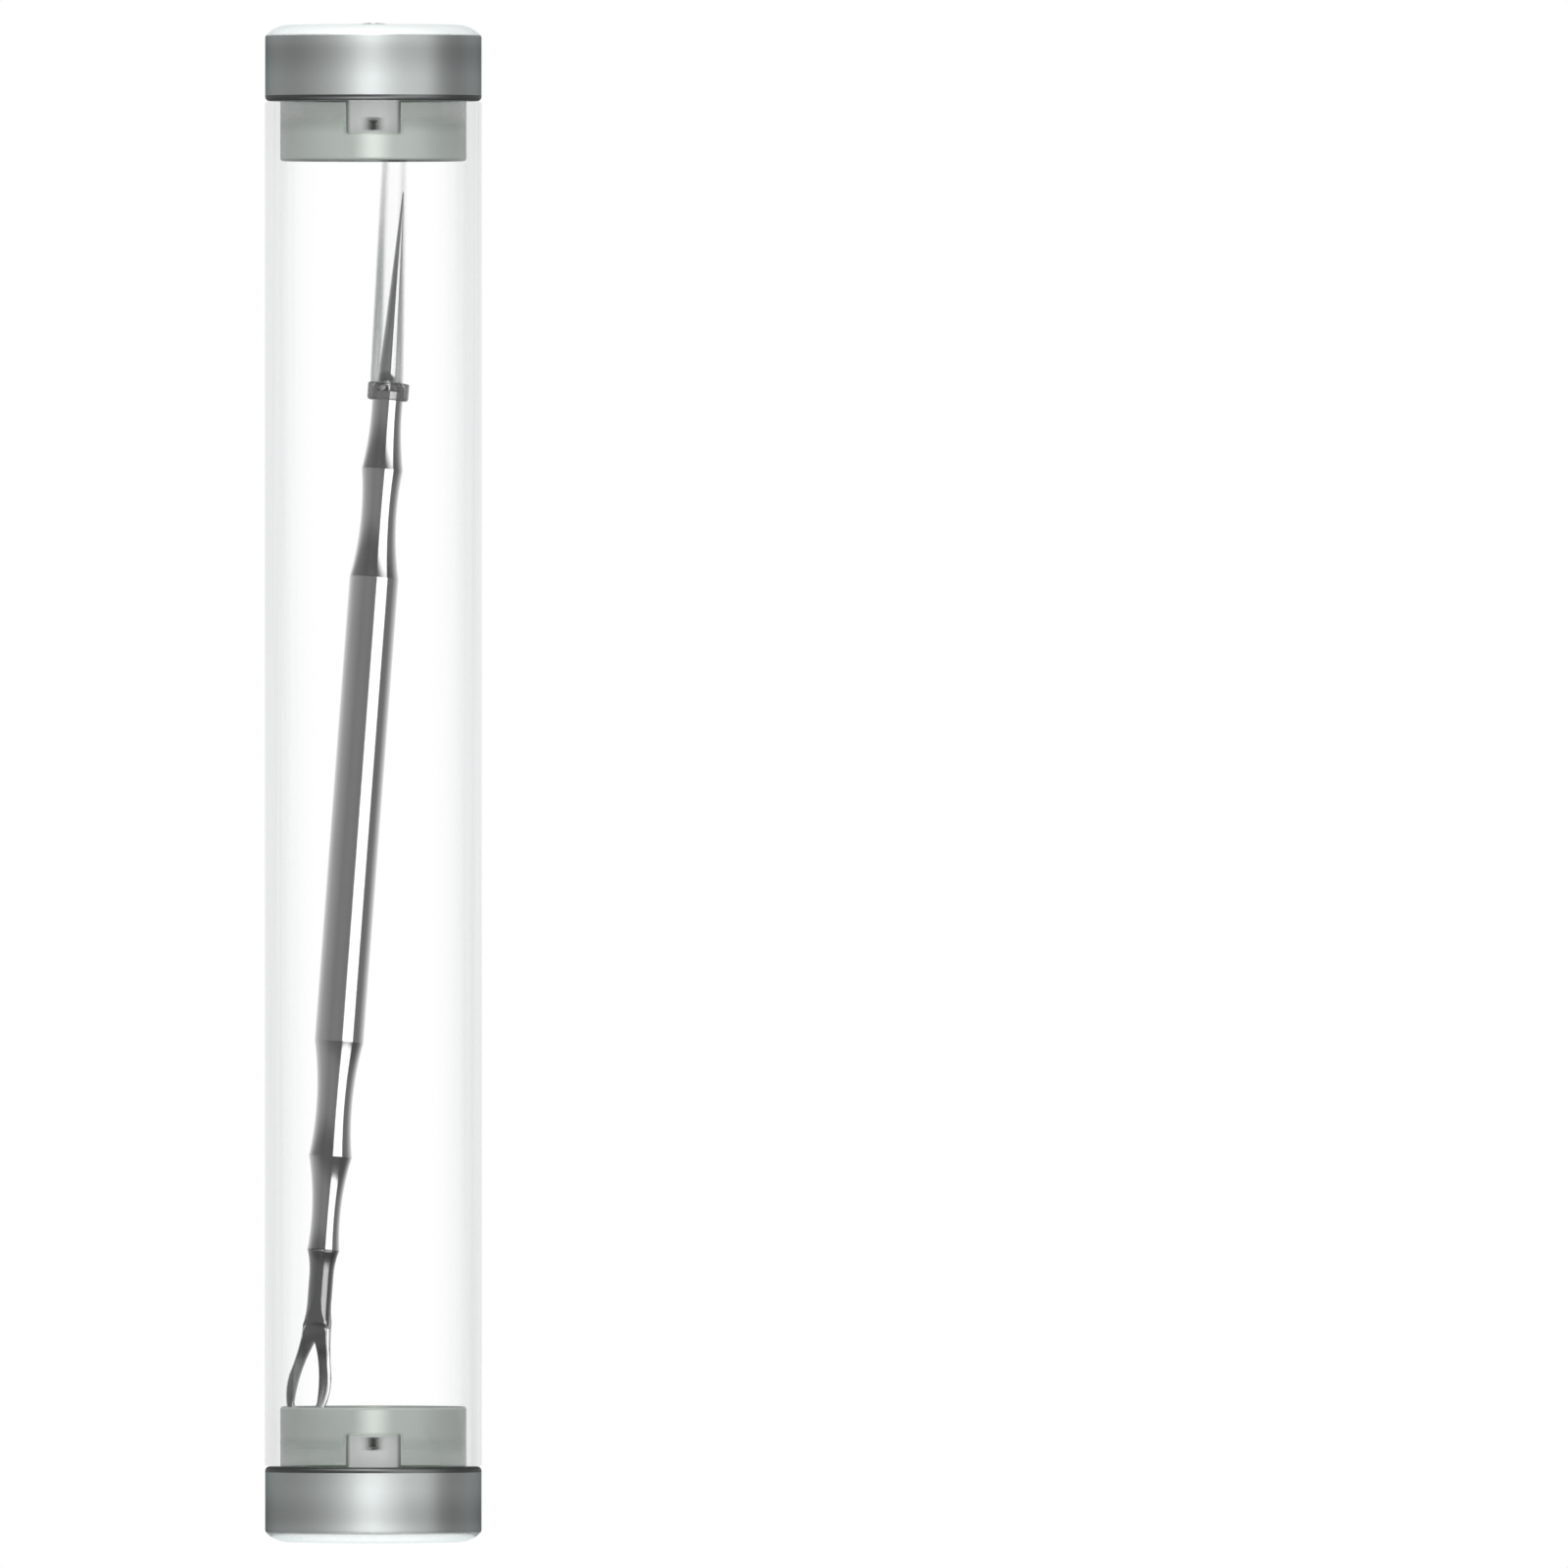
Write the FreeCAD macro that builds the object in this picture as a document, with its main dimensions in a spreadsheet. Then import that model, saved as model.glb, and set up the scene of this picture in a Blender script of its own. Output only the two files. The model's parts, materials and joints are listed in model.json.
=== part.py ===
import FreeCAD, Part

import math
import os
import re

import Sketcher

# A double-ended extractor lying in its clear storage tube, with a cap and plug at each end.
# The origin is the middle of the flat face that the tube stands on, and +Z runs up the tube.
# The extractor leans in the tube, with its loop at the foot and its sleeved needle at the head.

# Driving sizes, in millimetres and degrees
SIZES = (
    # The clear tube
    ("tube_outer_dia", 20.0),
    ("tube_wall", 1.4),
    ("tube_length", 125.5),
    ("tube_chamfer", 0.25),
    # The metal shell of a cap
    ("cap_height", 7.0),
    ("cap_inset", 0.05),
    ("cap_wall", 0.55),
    ("cap_top", 0.6),
    ("cap_edge_width", 2.2),
    ("cap_edge_height", 1.05),
    ("cap_lip_round", 0.4),
    # The screw through a cap
    ("screw_head_dia", 4.1),
    ("screw_head_seat", 0.1),
    ("screw_head_rise", 0.2),
    ("screw_shank_dia", 1.3),
    ("screw_reach", 2.35),
    ("screw_point", 0.6),
    ("screw_clearance", 0.1),
    ("recess_depth", 0.55),
    ("recess_span", 2.2),
    ("recess_width", 0.45),
    # The push-in plug
    ("plug_fit", 0.05),
    ("plug_reach", 5.5),
    ("plug_round", 0.25),
    ("flange_thick", 1.2),
    ("boss_dia", 5.05),
    ("plug_wall", 2.25),
    ("dish_wall", 0.3),
    ("dish_depth", 1.8),
    ("plug_web", 0.4),
    ("pilot_spare", 0.2),
    # The handle, from its loop end to its needle end
    ("loop_end_dia", 2.95),
    ("loop_node_length", 8.6),
    ("loop_node_waist", 2.66),
    ("loop_mid_dia", 3.97),
    ("loop_span_length", 10.6),
    ("loop_span_waist", 3.3),
    ("barrel_dia", 4.5),
    ("needle_span_length", 10.0),
    ("needle_span_waist", 3.26),
    ("needle_mid_dia", 3.8),
    ("needle_node_length", 7.15),
    ("needle_node_waist", 3.14),
    ("needle_end_dia", 2.9),
    ("shank_dia", 1.6),
    ("loop_shank_length", 6.0),
    ("needle_shank_length", 7.0),
    # The needle
    ("needle_length", 18.45),
    ("needle_root_dia", 1.9),
    ("needle_flare_length", 2.3),
    ("needle_flare_waist", 2.16),
    ("needle_tip_dia", 0.12),
    # The loop head
    ("loop_length", 16.1),
    ("loop_width", 4.15),
    ("loop_thick", 0.64),
    ("loop_drop", 2.2),
    ("neck_dia", 2.24),
    ("neck_flare_length", 2.3),
    ("neck_length", 2.1),
    ("front_run_out", 0.5),
    ("back_run_out", 0.1),
    ("eye_dia", 2.35),
    ("eye_wall", 0.9),
    ("eye_length", 6.9),
    # The clear sleeve over the needle
    ("sleeve_fit", 0.04),
    ("sleeve_overlap", 0.8),
    ("sleeve_bead_dia", 3.8),
    ("sleeve_bead_length", 1.6),
    ("sleeve_bead_round", 0.28),
    ("sleeve_throat_gap", 0.16),
    ("sleeve_throat_length", 0.15),
    ("sleeve_root_dia", 3.1),
    ("sleeve_end_dia", 2.4),
    ("sleeve_wall", 0.12),
    ("sleeve_spare", 3.7),
    ("sleeve_shift", 0.2),
    ("sleeve_tilt", 2.45),
    # How the extractor lies in the tube
    ("rest_gap", 0.15),
    ("head_gap", 0.5),
    ("head_side_gap", 0.45),
    ("foot_heading", 187.0),
    ("head_heading", 72.7),
    ("tool_spin", 18.0),
    # How far a cut runs past what it cuts
    ("overrun", 2.0),
)

FULL_TURN = 360.0
HALF_TURN = 180.0

# Where the narrowest place of each part of the handle lies, as a share of that part's length
LOOP_NODE_WAIST_SHARE = 0.42
LOOP_SPAN_WAIST_SHARE = 0.5
NEEDLE_SPAN_WAIST_SHARE = 0.55
NEEDLE_NODE_WAIST_SHARE = 0.32
FLARE_WAIST_SHARE = 0.42
# The neck's curve out to the handle, as shares of its length and of its growth
NECK_CURVE_SHARES = (0.55, 0.3)
# The round blank's flare below the neck, as shares of the leaf's half width and of the length up to its neck
FLARE_MIDDLE_SHARES = (0.78, 0.7)
FLARE_END_SHARE = 0.35
# The leaf's outline, as shares of its half width and of the length up to its neck
LEAF_SHOULDER_SHARES = (0.663, 0.667)
LEAF_SIDE_SHARES = (0.93, 0.413)
LEAF_WIDEST_SHARES = (1.0, 0.248)
LEAF_CORNER_SHARES = (0.747, 0.075)
# The leaf's half width where its round end begins, as a share of its widest
LEAF_AT_END_SHARE = 0.747
# The side of the eye, as shares of its half width and of its length above the round end
EYE_SIDE_SHARES = (0.747, 0.512)
# The leaf seen from its edge: heights as shares of the front flat's length, depths as shares of the drop
FRONT_BOW_SHARES = (0.644, 0.02)
BACK_LOW_SHARE = 0.48
BACK_VALLEY_SHARES = (0.65, 0.36)
BACK_HIGH_SHARES = (0.8, 0.42)
# The rounded edge of a cap and of a bead, at the middle of its quarter turn
QUARTER_SHARE = math.sqrt(0.5)

doc = FreeCAD.newDocument("extractor_in_tube")
sizes = doc.addObject("Spreadsheet::Sheet", "sizes")
for row, (alias, number) in enumerate(SIZES, start=1):
    sizes.set(f"A{row}", alias)
    sizes.set(f"B{row}", str(number))
    sizes.setAlias(f"B{row}", alias)
doc.recompute()

ALIASES = {alias for alias, number in SIZES}

# Sketcher's own numbers for its axes and origin, and for the start and end of an edge
ACROSS_INDEX = -1
UP_INDEX = -2
ORIGIN_INDEX = (-1, 1)
START_INDEX = 1
END_INDEX = 2


def bound(text):
    """Writes each size in an expression as the sheet's own cell."""
    return re.sub(r"[a-z]\w*", lambda found: f"sizes.{found[0]}" if found[0] in ALIASES else found[0], text)


def value(text):
    """Works out an expression of sizes."""
    return float(sizes.evalExpression(bound(text)))


def new_body(label):
    body = doc.addObject("PartDesign::Body", label)
    body.Label = label
    return body


def new_sketch(body, name, role):
    """Lays a sketch on one of the body's own origin planes."""
    sketch = body.newObject("Sketcher::SketchObject", f"{body.Name}_{name}")
    plane = next(item for item in body.Origin.OriginFeatures if item.Role == role)
    sketch.AttachmentSupport = [(plane, "")]
    sketch.MapMode = "FlatFace"
    return sketch


def runs_left(start, middle, end):
    """Tells whether an arc through three places turns anticlockwise."""
    first = middle - start
    second = end - middle
    return first.x * second.y - first.y * second.x > 0


def draw(sketch, places):
    """Draws a closed outline whose every point is bound to the sizes.

    Two texts are a corner. Four are an arc: the middle that it passes, and the corner where it ends.
    """
    constraints = []
    bindings = []

    def pin(geometry, end, place):
        for text, axis, kind in ((place[0], UP_INDEX, "DistanceX"), (place[1], ACROSS_INDEX, "DistanceY")):
            if text == "0":
                constraints.append(Sketcher.Constraint("PointOnObject", geometry, end, axis))
            else:
                bindings.append((len(constraints), bound(text)))
                constraints.append(Sketcher.Constraint(kind, *ORIGIN_INDEX, geometry, end, value(text)))

    edges = []
    for before, place in zip(places[-1:] + places[:-1], places):
        start, end = (FreeCAD.Vector(value(x), value(y), 0) for x, y in (before[-2:], place[-2:]))
        if len(place) == 2:
            edges.append((sketch.addGeometry(Part.LineSegment(start, end)), START_INDEX, END_INDEX))
            continue
        middle = FreeCAD.Vector(value(place[0]), value(place[1]), 0)
        arc = sketch.addGeometry(Part.Arc(start, middle, end))
        ends = (START_INDEX, END_INDEX) if runs_left(start, middle, end) else (END_INDEX, START_INDEX)
        edges.append((arc, *ends))
        passed = sketch.addGeometry(Part.Point(middle), True)
        constraints.append(Sketcher.Constraint("PointOnObject", passed, START_INDEX, arc))
        pin(passed, START_INDEX, place[:2])
    for edge, following, place in zip(edges, edges[1:] + edges[:1], places):
        constraints.append(Sketcher.Constraint("Coincident", edge[0], edge[2], following[0], following[1]))
        pin(edge[0], edge[2], place[-2:])
    sketch.addConstraint(constraints)
    for index, text in bindings:
        sketch.setExpression(f"Constraints[{index}]", text)


def turn(body, name, places, kind="PartDesign::Revolution", offset=None):
    """Turns an outline, drawn as radius and height, about the body's Z axis."""
    sketch = new_sketch(body, name, "XZ_Plane")
    if offset:
        offset(sketch)
    draw(sketch, places)
    doc.recompute()
    feature = body.newObject(kind, f"{body.Name}_{name}_turned")
    feature.Profile = sketch
    feature.ReferenceAxis = (sketch, ["V_Axis"])
    feature.Angle = FULL_TURN
    doc.recompute()
    return feature


def cut_through(body, name, role, places, reach=None):
    """Cuts an outline evenly to both sides of one of the body's planes."""
    sketch = new_sketch(body, name, role)
    draw(sketch, places)
    doc.recompute()
    before = body.Shape.Volume
    pocket = body.newObject("PartDesign::Pocket", f"{body.Name}_{name}_cut")
    pocket.Profile = sketch
    pocket.Midplane = True
    if reach is None:
        pocket.Type = "ThroughAll"
    else:
        pocket.Type = "Length"
        pocket.setExpression("Length", bound(f"2 * ({reach})"))
    doc.recompute()
    if body.Shape.Volume >= before:
        raise RuntimeError(f"{body.Label}: {name} cut nothing")
    return pocket


def mirrored(places):
    """Mirrors an outline's pairs and arcs across the Z axis, in the opposite order."""
    flipped = [tuple(f"-({text})" if spot % 2 == 0 and text != "0" else text for spot, text in enumerate(place))
               for place in places]
    corners = [place[-2:] for place in flipped]
    middles = [place[:-2] for place in flipped]
    return [middle + corner for middle, corner in zip(reversed(middles[1:]), reversed(corners[:-1]))]


# Radii that several pieces share
TUBE_RAD = "(tube_outer_dia / 2)"
BORE_RAD = f"({TUBE_RAD} - tube_wall)"
CAP_RAD = f"({TUBE_RAD} - cap_inset)"
SHELL_BORE_RAD = f"({CAP_RAD} - cap_wall)"
SKIRT_RAD = f"({BORE_RAD} - plug_fit)"
DISH_RAD = f"({SKIRT_RAD} - dish_wall)"
POCKET_RAD = f"({SKIRT_RAD} - plug_wall)"
SCREW_HEAD_RAD = "(screw_head_dia / 2)"
SCREW_RAD = "(screw_shank_dia / 2)"
SHANK_RAD = "(shank_dia / 2)"
NEEDLE_END_RAD = "(needle_end_dia / 2)"
NECK_RAD = "(neck_dia / 2)"

# Heights in a cap, from its outer face inward
INSERT_END = "(cap_height - flange_thick)"
PLUG_END = "(cap_height + plug_reach)"
DISH_FLOOR = f"({PLUG_END} - dish_depth)"
POCKET_END = f"({DISH_FLOOR} - plug_web)"
WHOLE_HEIGHT = "(2 * cap_height + tube_length)"

# Heights along the extractor, from the end of its loop
NECK_START = "(loop_length - neck_flare_length)"
NECK_END = f"({NECK_START} - neck_length)"
FRONT_FLAT_START = f"({NECK_END} + front_run_out)"
BACK_FLAT_START = f"({NECK_END} + back_run_out)"
TOOL_ROOM = f"({WHOLE_HEIGHT} - 2 * {DISH_FLOOR} - rest_gap - head_gap)"
SLEEVE_TUBE = "(needle_length + sleeve_overlap - sleeve_bead_length + sleeve_spare)"
LOOP_MID_AT = "(loop_length + loop_node_length)"
BARREL_FOOT_AT = f"({LOOP_MID_AT} + loop_span_length)"
BARREL_HEAD_AT = f"({TOOL_ROOM} - sleeve_spare - needle_length - needle_node_length - needle_span_length)"
NEEDLE_MID_AT = f"({BARREL_HEAD_AT} + needle_span_length)"
NEEDLE_END_AT = f"({NEEDLE_MID_AT} + needle_node_length)"
NEEDLE_TIP_AT = f"({NEEDLE_END_AT} + needle_length)"
BEAD_FOOT_AT = f"({NEEDLE_END_AT} - sleeve_overlap)"
BEAD_HEAD_AT = f"({BEAD_FOOT_AT} + sleeve_bead_length)"


def between(low, high, share):
    """Gives the place that lies a share of the way from one to the other."""
    return f"({low} + {share} * ({high} - {low}))"


def cap_placement(top):
    """Puts a cap's pieces, drawn as the lower cap's, at the foot or at the head of the tube."""
    if not top:
        return FreeCAD.Placement()
    flip = FreeCAD.Rotation(FreeCAD.Vector(1, 0, 0), HALF_TURN)
    return FreeCAD.Placement(FreeCAD.Vector(0, 0, value(WHOLE_HEIGHT)), flip)


def case_tube():
    body = new_body("case_tube")
    head = "(cap_height + tube_length)"
    turn(body, "wall", [
        (BORE_RAD, "cap_height"),
        (f"{TUBE_RAD} - tube_chamfer", "cap_height"),
        (TUBE_RAD, "cap_height + tube_chamfer"),
        (TUBE_RAD, f"{head} - tube_chamfer"),
        (f"{TUBE_RAD} - tube_chamfer", head),
        (BORE_RAD, head),
    ])
    return body


def cap_shell(side):
    """A metal cup with a softly rounded outer edge, a small round on its lip and a countersunk hole."""
    body = new_body(f"{side}_cap_shell")
    hole_end = f"({SCREW_HEAD_RAD} - cap_top + screw_head_seat)"
    slant = "hypot(cap_edge_width; cap_edge_height)"
    turn(body, "cup", [
        (SCREW_HEAD_RAD, "0"),
        (f"{CAP_RAD} - cap_edge_width", "0"),
        (f"{CAP_RAD} - cap_edge_width + {slant} / 2",
         f"{slant} * ({slant} - cap_edge_width) / (2 * cap_edge_height)",
         CAP_RAD, "cap_edge_height"),
        (CAP_RAD, "cap_height - cap_lip_round"),
        (f"{CAP_RAD} - (1 - {QUARTER_SHARE}) * cap_lip_round",
         f"cap_height - (1 - {QUARTER_SHARE}) * cap_lip_round",
         f"{CAP_RAD} - cap_lip_round", "cap_height"),
        (SHELL_BORE_RAD, "cap_height"),
        (SHELL_BORE_RAD, "cap_top"),
        (hole_end, "cap_top"),
        (SCREW_HEAD_RAD, "screw_head_seat"),
    ])
    return body


def cap_insert(side):
    """The stiff disc that fills the shell, with the lower part of the countersink and a free hole."""
    body = new_body(f"{side}_cap_insert")
    hole_rad = f"({SCREW_RAD} + screw_clearance)"
    turn(body, "disc", [
        (f"{SCREW_HEAD_RAD} - cap_top + screw_head_seat", "cap_top"),
        (SHELL_BORE_RAD, "cap_top"),
        (SHELL_BORE_RAD, INSERT_END),
        (hole_rad, INSERT_END),
        (hole_rad, f"{SCREW_HEAD_RAD} - {hole_rad} + screw_head_seat"),
    ])
    return body


def cap_plug(side):
    """The push-in plug: a flange, a skirt round a pocket with a boss in it, and a dished inner end."""
    body = new_body(f"{side}_cap_plug")
    pilot_end = "(cap_height + screw_reach + pilot_spare)"
    turn(body, "plug", [
        (SCREW_RAD, INSERT_END),
        ("boss_dia / 2", INSERT_END),
        ("boss_dia / 2", POCKET_END),
        (POCKET_RAD, POCKET_END),
        (POCKET_RAD, INSERT_END),
        (SHELL_BORE_RAD, INSERT_END),
        (SHELL_BORE_RAD, "cap_height"),
        (SKIRT_RAD, "cap_height"),
        (SKIRT_RAD, f"{PLUG_END} - plug_round"),
        (f"{SKIRT_RAD} - plug_round", PLUG_END),
        (DISH_RAD, PLUG_END),
        (DISH_RAD, DISH_FLOOR),
        ("0", DISH_FLOOR),
        ("0", pilot_end),
        (SCREW_RAD, pilot_end),
    ])
    return body


def cap_screw(side, raised):
    """The screw that holds shell, disc and plug together, with a raised or a flat head."""
    body = new_body(f"{side}_cap_screw")
    crown = [("0", "-screw_head_rise")] if raised else [("0", "screw_head_seat")]
    dome = (f"{SCREW_HEAD_RAD} * {QUARTER_SHARE}", "-screw_head_rise / 2 + screw_head_seat / 2")
    rim = (SCREW_HEAD_RAD, "screw_head_seat")
    turn(body, "screw", crown + [
        dome + rim if raised else rim,
        (SCREW_RAD, f"screw_head_seat + {SCREW_HEAD_RAD} - {SCREW_RAD}"),
        (SCREW_RAD, "cap_height + screw_reach - screw_point"),
        ("0", "cap_height + screw_reach"),
    ])
    long_half = "recess_span / 2"
    short_half = "recess_width / 2"
    quarter = [(long_half, f"-{short_half}"), (long_half, short_half), (short_half, short_half)]
    cross = []
    for _ in range(4):
        cross += quarter
        quarter = [(f"-({y})", x) for x, y in quarter]
    cut_through(body, "recess", "XY_Plane", cross, "recess_depth + screw_head_seat")
    return body


def handle():
    """The turned steel handle: a plain barrel with waisted lengths and sharp ridges towards each end."""
    body = new_body("handle")
    turn(body, "turning", [
        (SHANK_RAD, "loop_length"),
        ("loop_end_dia / 2", "loop_length"),
        ("loop_node_waist / 2", between("loop_length", LOOP_MID_AT, LOOP_NODE_WAIST_SHARE),
         "loop_mid_dia / 2", LOOP_MID_AT),
        ("loop_span_waist / 2", between(LOOP_MID_AT, BARREL_FOOT_AT, LOOP_SPAN_WAIST_SHARE),
         "barrel_dia / 2", BARREL_FOOT_AT),
        ("barrel_dia / 2", BARREL_HEAD_AT),
        ("needle_span_waist / 2", between(BARREL_HEAD_AT, NEEDLE_MID_AT, NEEDLE_SPAN_WAIST_SHARE),
         "needle_mid_dia / 2", NEEDLE_MID_AT),
        ("needle_node_waist / 2", between(NEEDLE_MID_AT, NEEDLE_END_AT, NEEDLE_NODE_WAIST_SHARE),
         NEEDLE_END_RAD, NEEDLE_END_AT),
        (SHANK_RAD, NEEDLE_END_AT),
        (SHANK_RAD, f"{NEEDLE_END_AT} - needle_shank_length"),
        ("0", f"{NEEDLE_END_AT} - needle_shank_length"),
        ("0", "loop_length + loop_shank_length"),
        (SHANK_RAD, "loop_length + loop_shank_length"),
    ])
    return body


def needle():
    """The polished needle, flared to the handle's end, with a shank pressed into the handle."""
    body = new_body("needle")
    tip_rad = "(needle_tip_dia / 2)"
    turn(body, "cone", [
        ("0", f"{NEEDLE_END_AT} - needle_shank_length"),
        (SHANK_RAD, f"{NEEDLE_END_AT} - needle_shank_length"),
        (SHANK_RAD, NEEDLE_END_AT),
        (NEEDLE_END_RAD, NEEDLE_END_AT),
        ("needle_flare_waist / 2", f"{NEEDLE_END_AT} + {FLARE_WAIST_SHARE} * needle_flare_length",
         "needle_root_dia / 2", f"{NEEDLE_END_AT} + needle_flare_length"),
        (tip_rad, f"{NEEDLE_TIP_AT} - {tip_rad}"),
        (f"{QUARTER_SHARE} * {tip_rad}", f"{NEEDLE_TIP_AT} - (1 - {QUARTER_SHARE}) * {tip_rad}",
         "0", NEEDLE_TIP_AT),
    ])
    return body


def share_of_leaf(shares):
    """Puts a point of the leaf's outline, given as shares, at its half width and height."""
    return f"{shares[0]} * loop_width / 2", f"{shares[1]} * {NECK_END}"


def loop_head():
    """The bent loop: turned with its neck and shank, then ground to a thin leaf with a pointed eye."""
    body = new_body("loop_head")
    bell_rad = "(loop_width / 2 + loop_drop)"
    shank_end = "loop_length + loop_shank_length"
    curve_at = between(NECK_START, "loop_length", NECK_CURVE_SHARES[0])
    curve_rad = between(NECK_RAD, "loop_end_dia / 2", NECK_CURVE_SHARES[1])
    turn(body, "blank", [
        ("0", "-overrun"),
        (bell_rad, "-overrun"),
        (bell_rad, f"{FLARE_END_SHARE} * {NECK_END}"),
        share_of_leaf(FLARE_MIDDLE_SHARES) + (NECK_RAD, NECK_END),
        (NECK_RAD, NECK_START),
        (curve_rad, curve_at, "loop_end_dia / 2", "loop_length"),
        (SHANK_RAD, "loop_length"),
        (SHANK_RAD, shank_end),
        ("0", shank_end),
    ])
    right = [
        (NECK_RAD, NECK_END),
        share_of_leaf(LEAF_SHOULDER_SHARES) + share_of_leaf(LEAF_SIDE_SHARES),
        share_of_leaf(LEAF_WIDEST_SHARES) + share_of_leaf(LEAF_CORNER_SHARES),
    ]
    corner = share_of_leaf(LEAF_CORNER_SHARES)
    foot = ("0", "0", f"-({corner[0]})", corner[1])
    far = f"({bell_rad} + overrun)"
    cut_through(body, "leaf", "XZ_Plane", [(far, NECK_END)] + right + [foot] + mirrored(right) + [
        (f"-{far}", NECK_END),
        (f"-{far}", "-overrun"),
        (far, "-overrun"),
    ])

    def front_depth(share):
        return f"(-loop_drop + loop_thick / 2 + {share} * (loop_drop - loop_thick / 2 + {NECK_RAD}))"

    bow_at, bow_share = FRONT_BOW_SHARES
    bow = (front_depth(bow_at - bow_share), f"{bow_at} * {FRONT_FLAT_START}")
    cut_through(body, "front", "YZ_Plane", [
        (front_depth(0), "0"),
        bow + (NECK_RAD, FRONT_FLAT_START),
        (far, FRONT_FLAT_START),
        (far, "-overrun"),
        (front_depth(0), "-overrun"),
    ])
    back_low = (f"{front_depth(BACK_LOW_SHARE)} - loop_thick", f"{BACK_LOW_SHARE} * {FRONT_FLAT_START}")
    valley = (f"-{BACK_VALLEY_SHARES[1]} * loop_drop", f"{BACK_VALLEY_SHARES[0]} * {FRONT_FLAT_START}")
    back_high = (f"-{BACK_HIGH_SHARES[1]} * loop_drop", f"{BACK_HIGH_SHARES[0]} * {FRONT_FLAT_START}")
    cut_through(body, "back", "YZ_Plane", [
        (f"{front_depth(0)} - loop_thick", "0"),
        back_low,
        valley + back_high,
        (f"-{NECK_RAD}", BACK_FLAT_START),
        (f"-{far}", BACK_FLAT_START),
        (f"-{far}", "-overrun"),
        (f"{front_depth(0)} - loop_thick", "-overrun"),
    ])
    eye_centre = "(eye_wall + eye_dia / 2)"
    rise = "(eye_length - eye_dia / 2)"
    side = (f"{EYE_SIDE_SHARES[0]} * eye_dia / 2", f"{eye_centre} + {EYE_SIDE_SHARES[1]} * {rise}")
    cut_through(body, "eye", "XZ_Plane", [
        ("0", "eye_wall", "eye_dia / 2", eye_centre),
        side + ("0", "eye_wall + eye_length"),
        (f"-{side[0]}", side[1], "-eye_dia / 2", eye_centre),
    ])
    return body


def needle_sleeve():
    """The clear sleeve: a bead that grips the handle's end, and a thin tapered tube that leans off it."""
    body = new_body("needle_sleeve")
    bore_rad = f"({NEEDLE_END_RAD} + sleeve_fit)"
    bead_rad = "(sleeve_bead_dia / 2)"
    throat_rad = "(needle_flare_waist / 2 + sleeve_throat_gap)"
    throat_foot = f"({BEAD_HEAD_AT} - sleeve_throat_length)"
    corner = f"(1 - {QUARTER_SHARE}) * sleeve_bead_round"
    turn(body, "bead", [
        (bore_rad, BEAD_FOOT_AT),
        (f"{bead_rad} - sleeve_bead_round", BEAD_FOOT_AT),
        (f"{bead_rad} - {corner}", f"{BEAD_FOOT_AT} + {corner}",
         bead_rad, f"{BEAD_FOOT_AT} + sleeve_bead_round"),
        (bead_rad, f"{BEAD_HEAD_AT} - sleeve_bead_round"),
        (f"{bead_rad} - {corner}", f"{BEAD_HEAD_AT} - {corner}",
         f"{bead_rad} - sleeve_bead_round", BEAD_HEAD_AT),
        (throat_rad, BEAD_HEAD_AT),
        (throat_rad, throat_foot),
        (bore_rad, f"{throat_foot} - ({bore_rad} - {throat_rad})"),
    ])

    def lean(sketch):
        sketch.setExpression("AttachmentOffset.Base.x", bound("-sleeve_shift"))
        sketch.setExpression("AttachmentOffset.Base.y", bound(BEAD_HEAD_AT))
        sketch.setExpression("AttachmentOffset.Rotation.Angle", bound("sleeve_tilt"))

    turn(body, "tube", [
        ("sleeve_root_dia / 2 - sleeve_wall", "-sleeve_wall"),
        ("sleeve_root_dia / 2", "-sleeve_wall"),
        ("sleeve_end_dia / 2", SLEEVE_TUBE),
        ("sleeve_end_dia / 2 - sleeve_wall", SLEEVE_TUBE),
    ], offset=lean)
    return body


def tool_placement():
    """Leans the extractor from the foot's dish to the head's, at its gap from each rim."""
    def at(reach, heading):
        angle = math.radians(heading)
        return FreeCAD.Vector(reach * math.cos(angle), reach * math.sin(angle), 0)

    spin = -value("tool_spin")
    turned = FreeCAD.Rotation(FreeCAD.Vector(0, 0, 1), spin)
    foot_reach = value(f"{DISH_RAD} - rest_gap - {LEAF_AT_END_SHARE} * loop_width / 2")
    foot = at(foot_reach, value("foot_heading")) - turned.multVec(FreeCAD.Vector(0, -value("loop_drop"), 0))
    foot.z = value(f"{DISH_FLOOR} + rest_gap")
    sleeve_lean = value("sleeve_shift") + value(SLEEVE_TUBE) * math.sin(math.radians(value("sleeve_tilt")))
    head_reach = value(f"{DISH_RAD} - head_side_gap - sleeve_end_dia / 2")
    head = at(head_reach, value("head_heading")) + turned.multVec(FreeCAD.Vector(sleeve_lean, 0, 0))
    head.z = foot.z + value(f"{BEAD_HEAD_AT} + {SLEEVE_TUBE}")
    leaning = FreeCAD.Rotation(FreeCAD.Vector(0, 0, 1), head - foot)
    return FreeCAD.Placement(foot, leaning.multiply(turned))


parts = [case_tube()]
for side, top in (("bottom", False), ("top", True)):
    pieces = [cap_shell(side), cap_insert(side), cap_plug(side), cap_screw(side, top)]
    for piece in pieces:
        piece.Placement = cap_placement(top)
    parts += pieces
tool = [handle(), needle(), loop_head(), needle_sleeve()]
for piece in tool:
    piece.Placement = tool_placement()
parts += tool
doc.recompute()

for item in doc.Objects:
    if {"Invalid", "Error"} & set(item.State):
        raise RuntimeError(f"{item.Label}: {item.State}")
for body in parts:
    if body.Shape.isNull() or not body.Shape.isValid() or len(body.Shape.Solids) != 1:
        raise RuntimeError(f"{body.Label}: not one sound solid")

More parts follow.
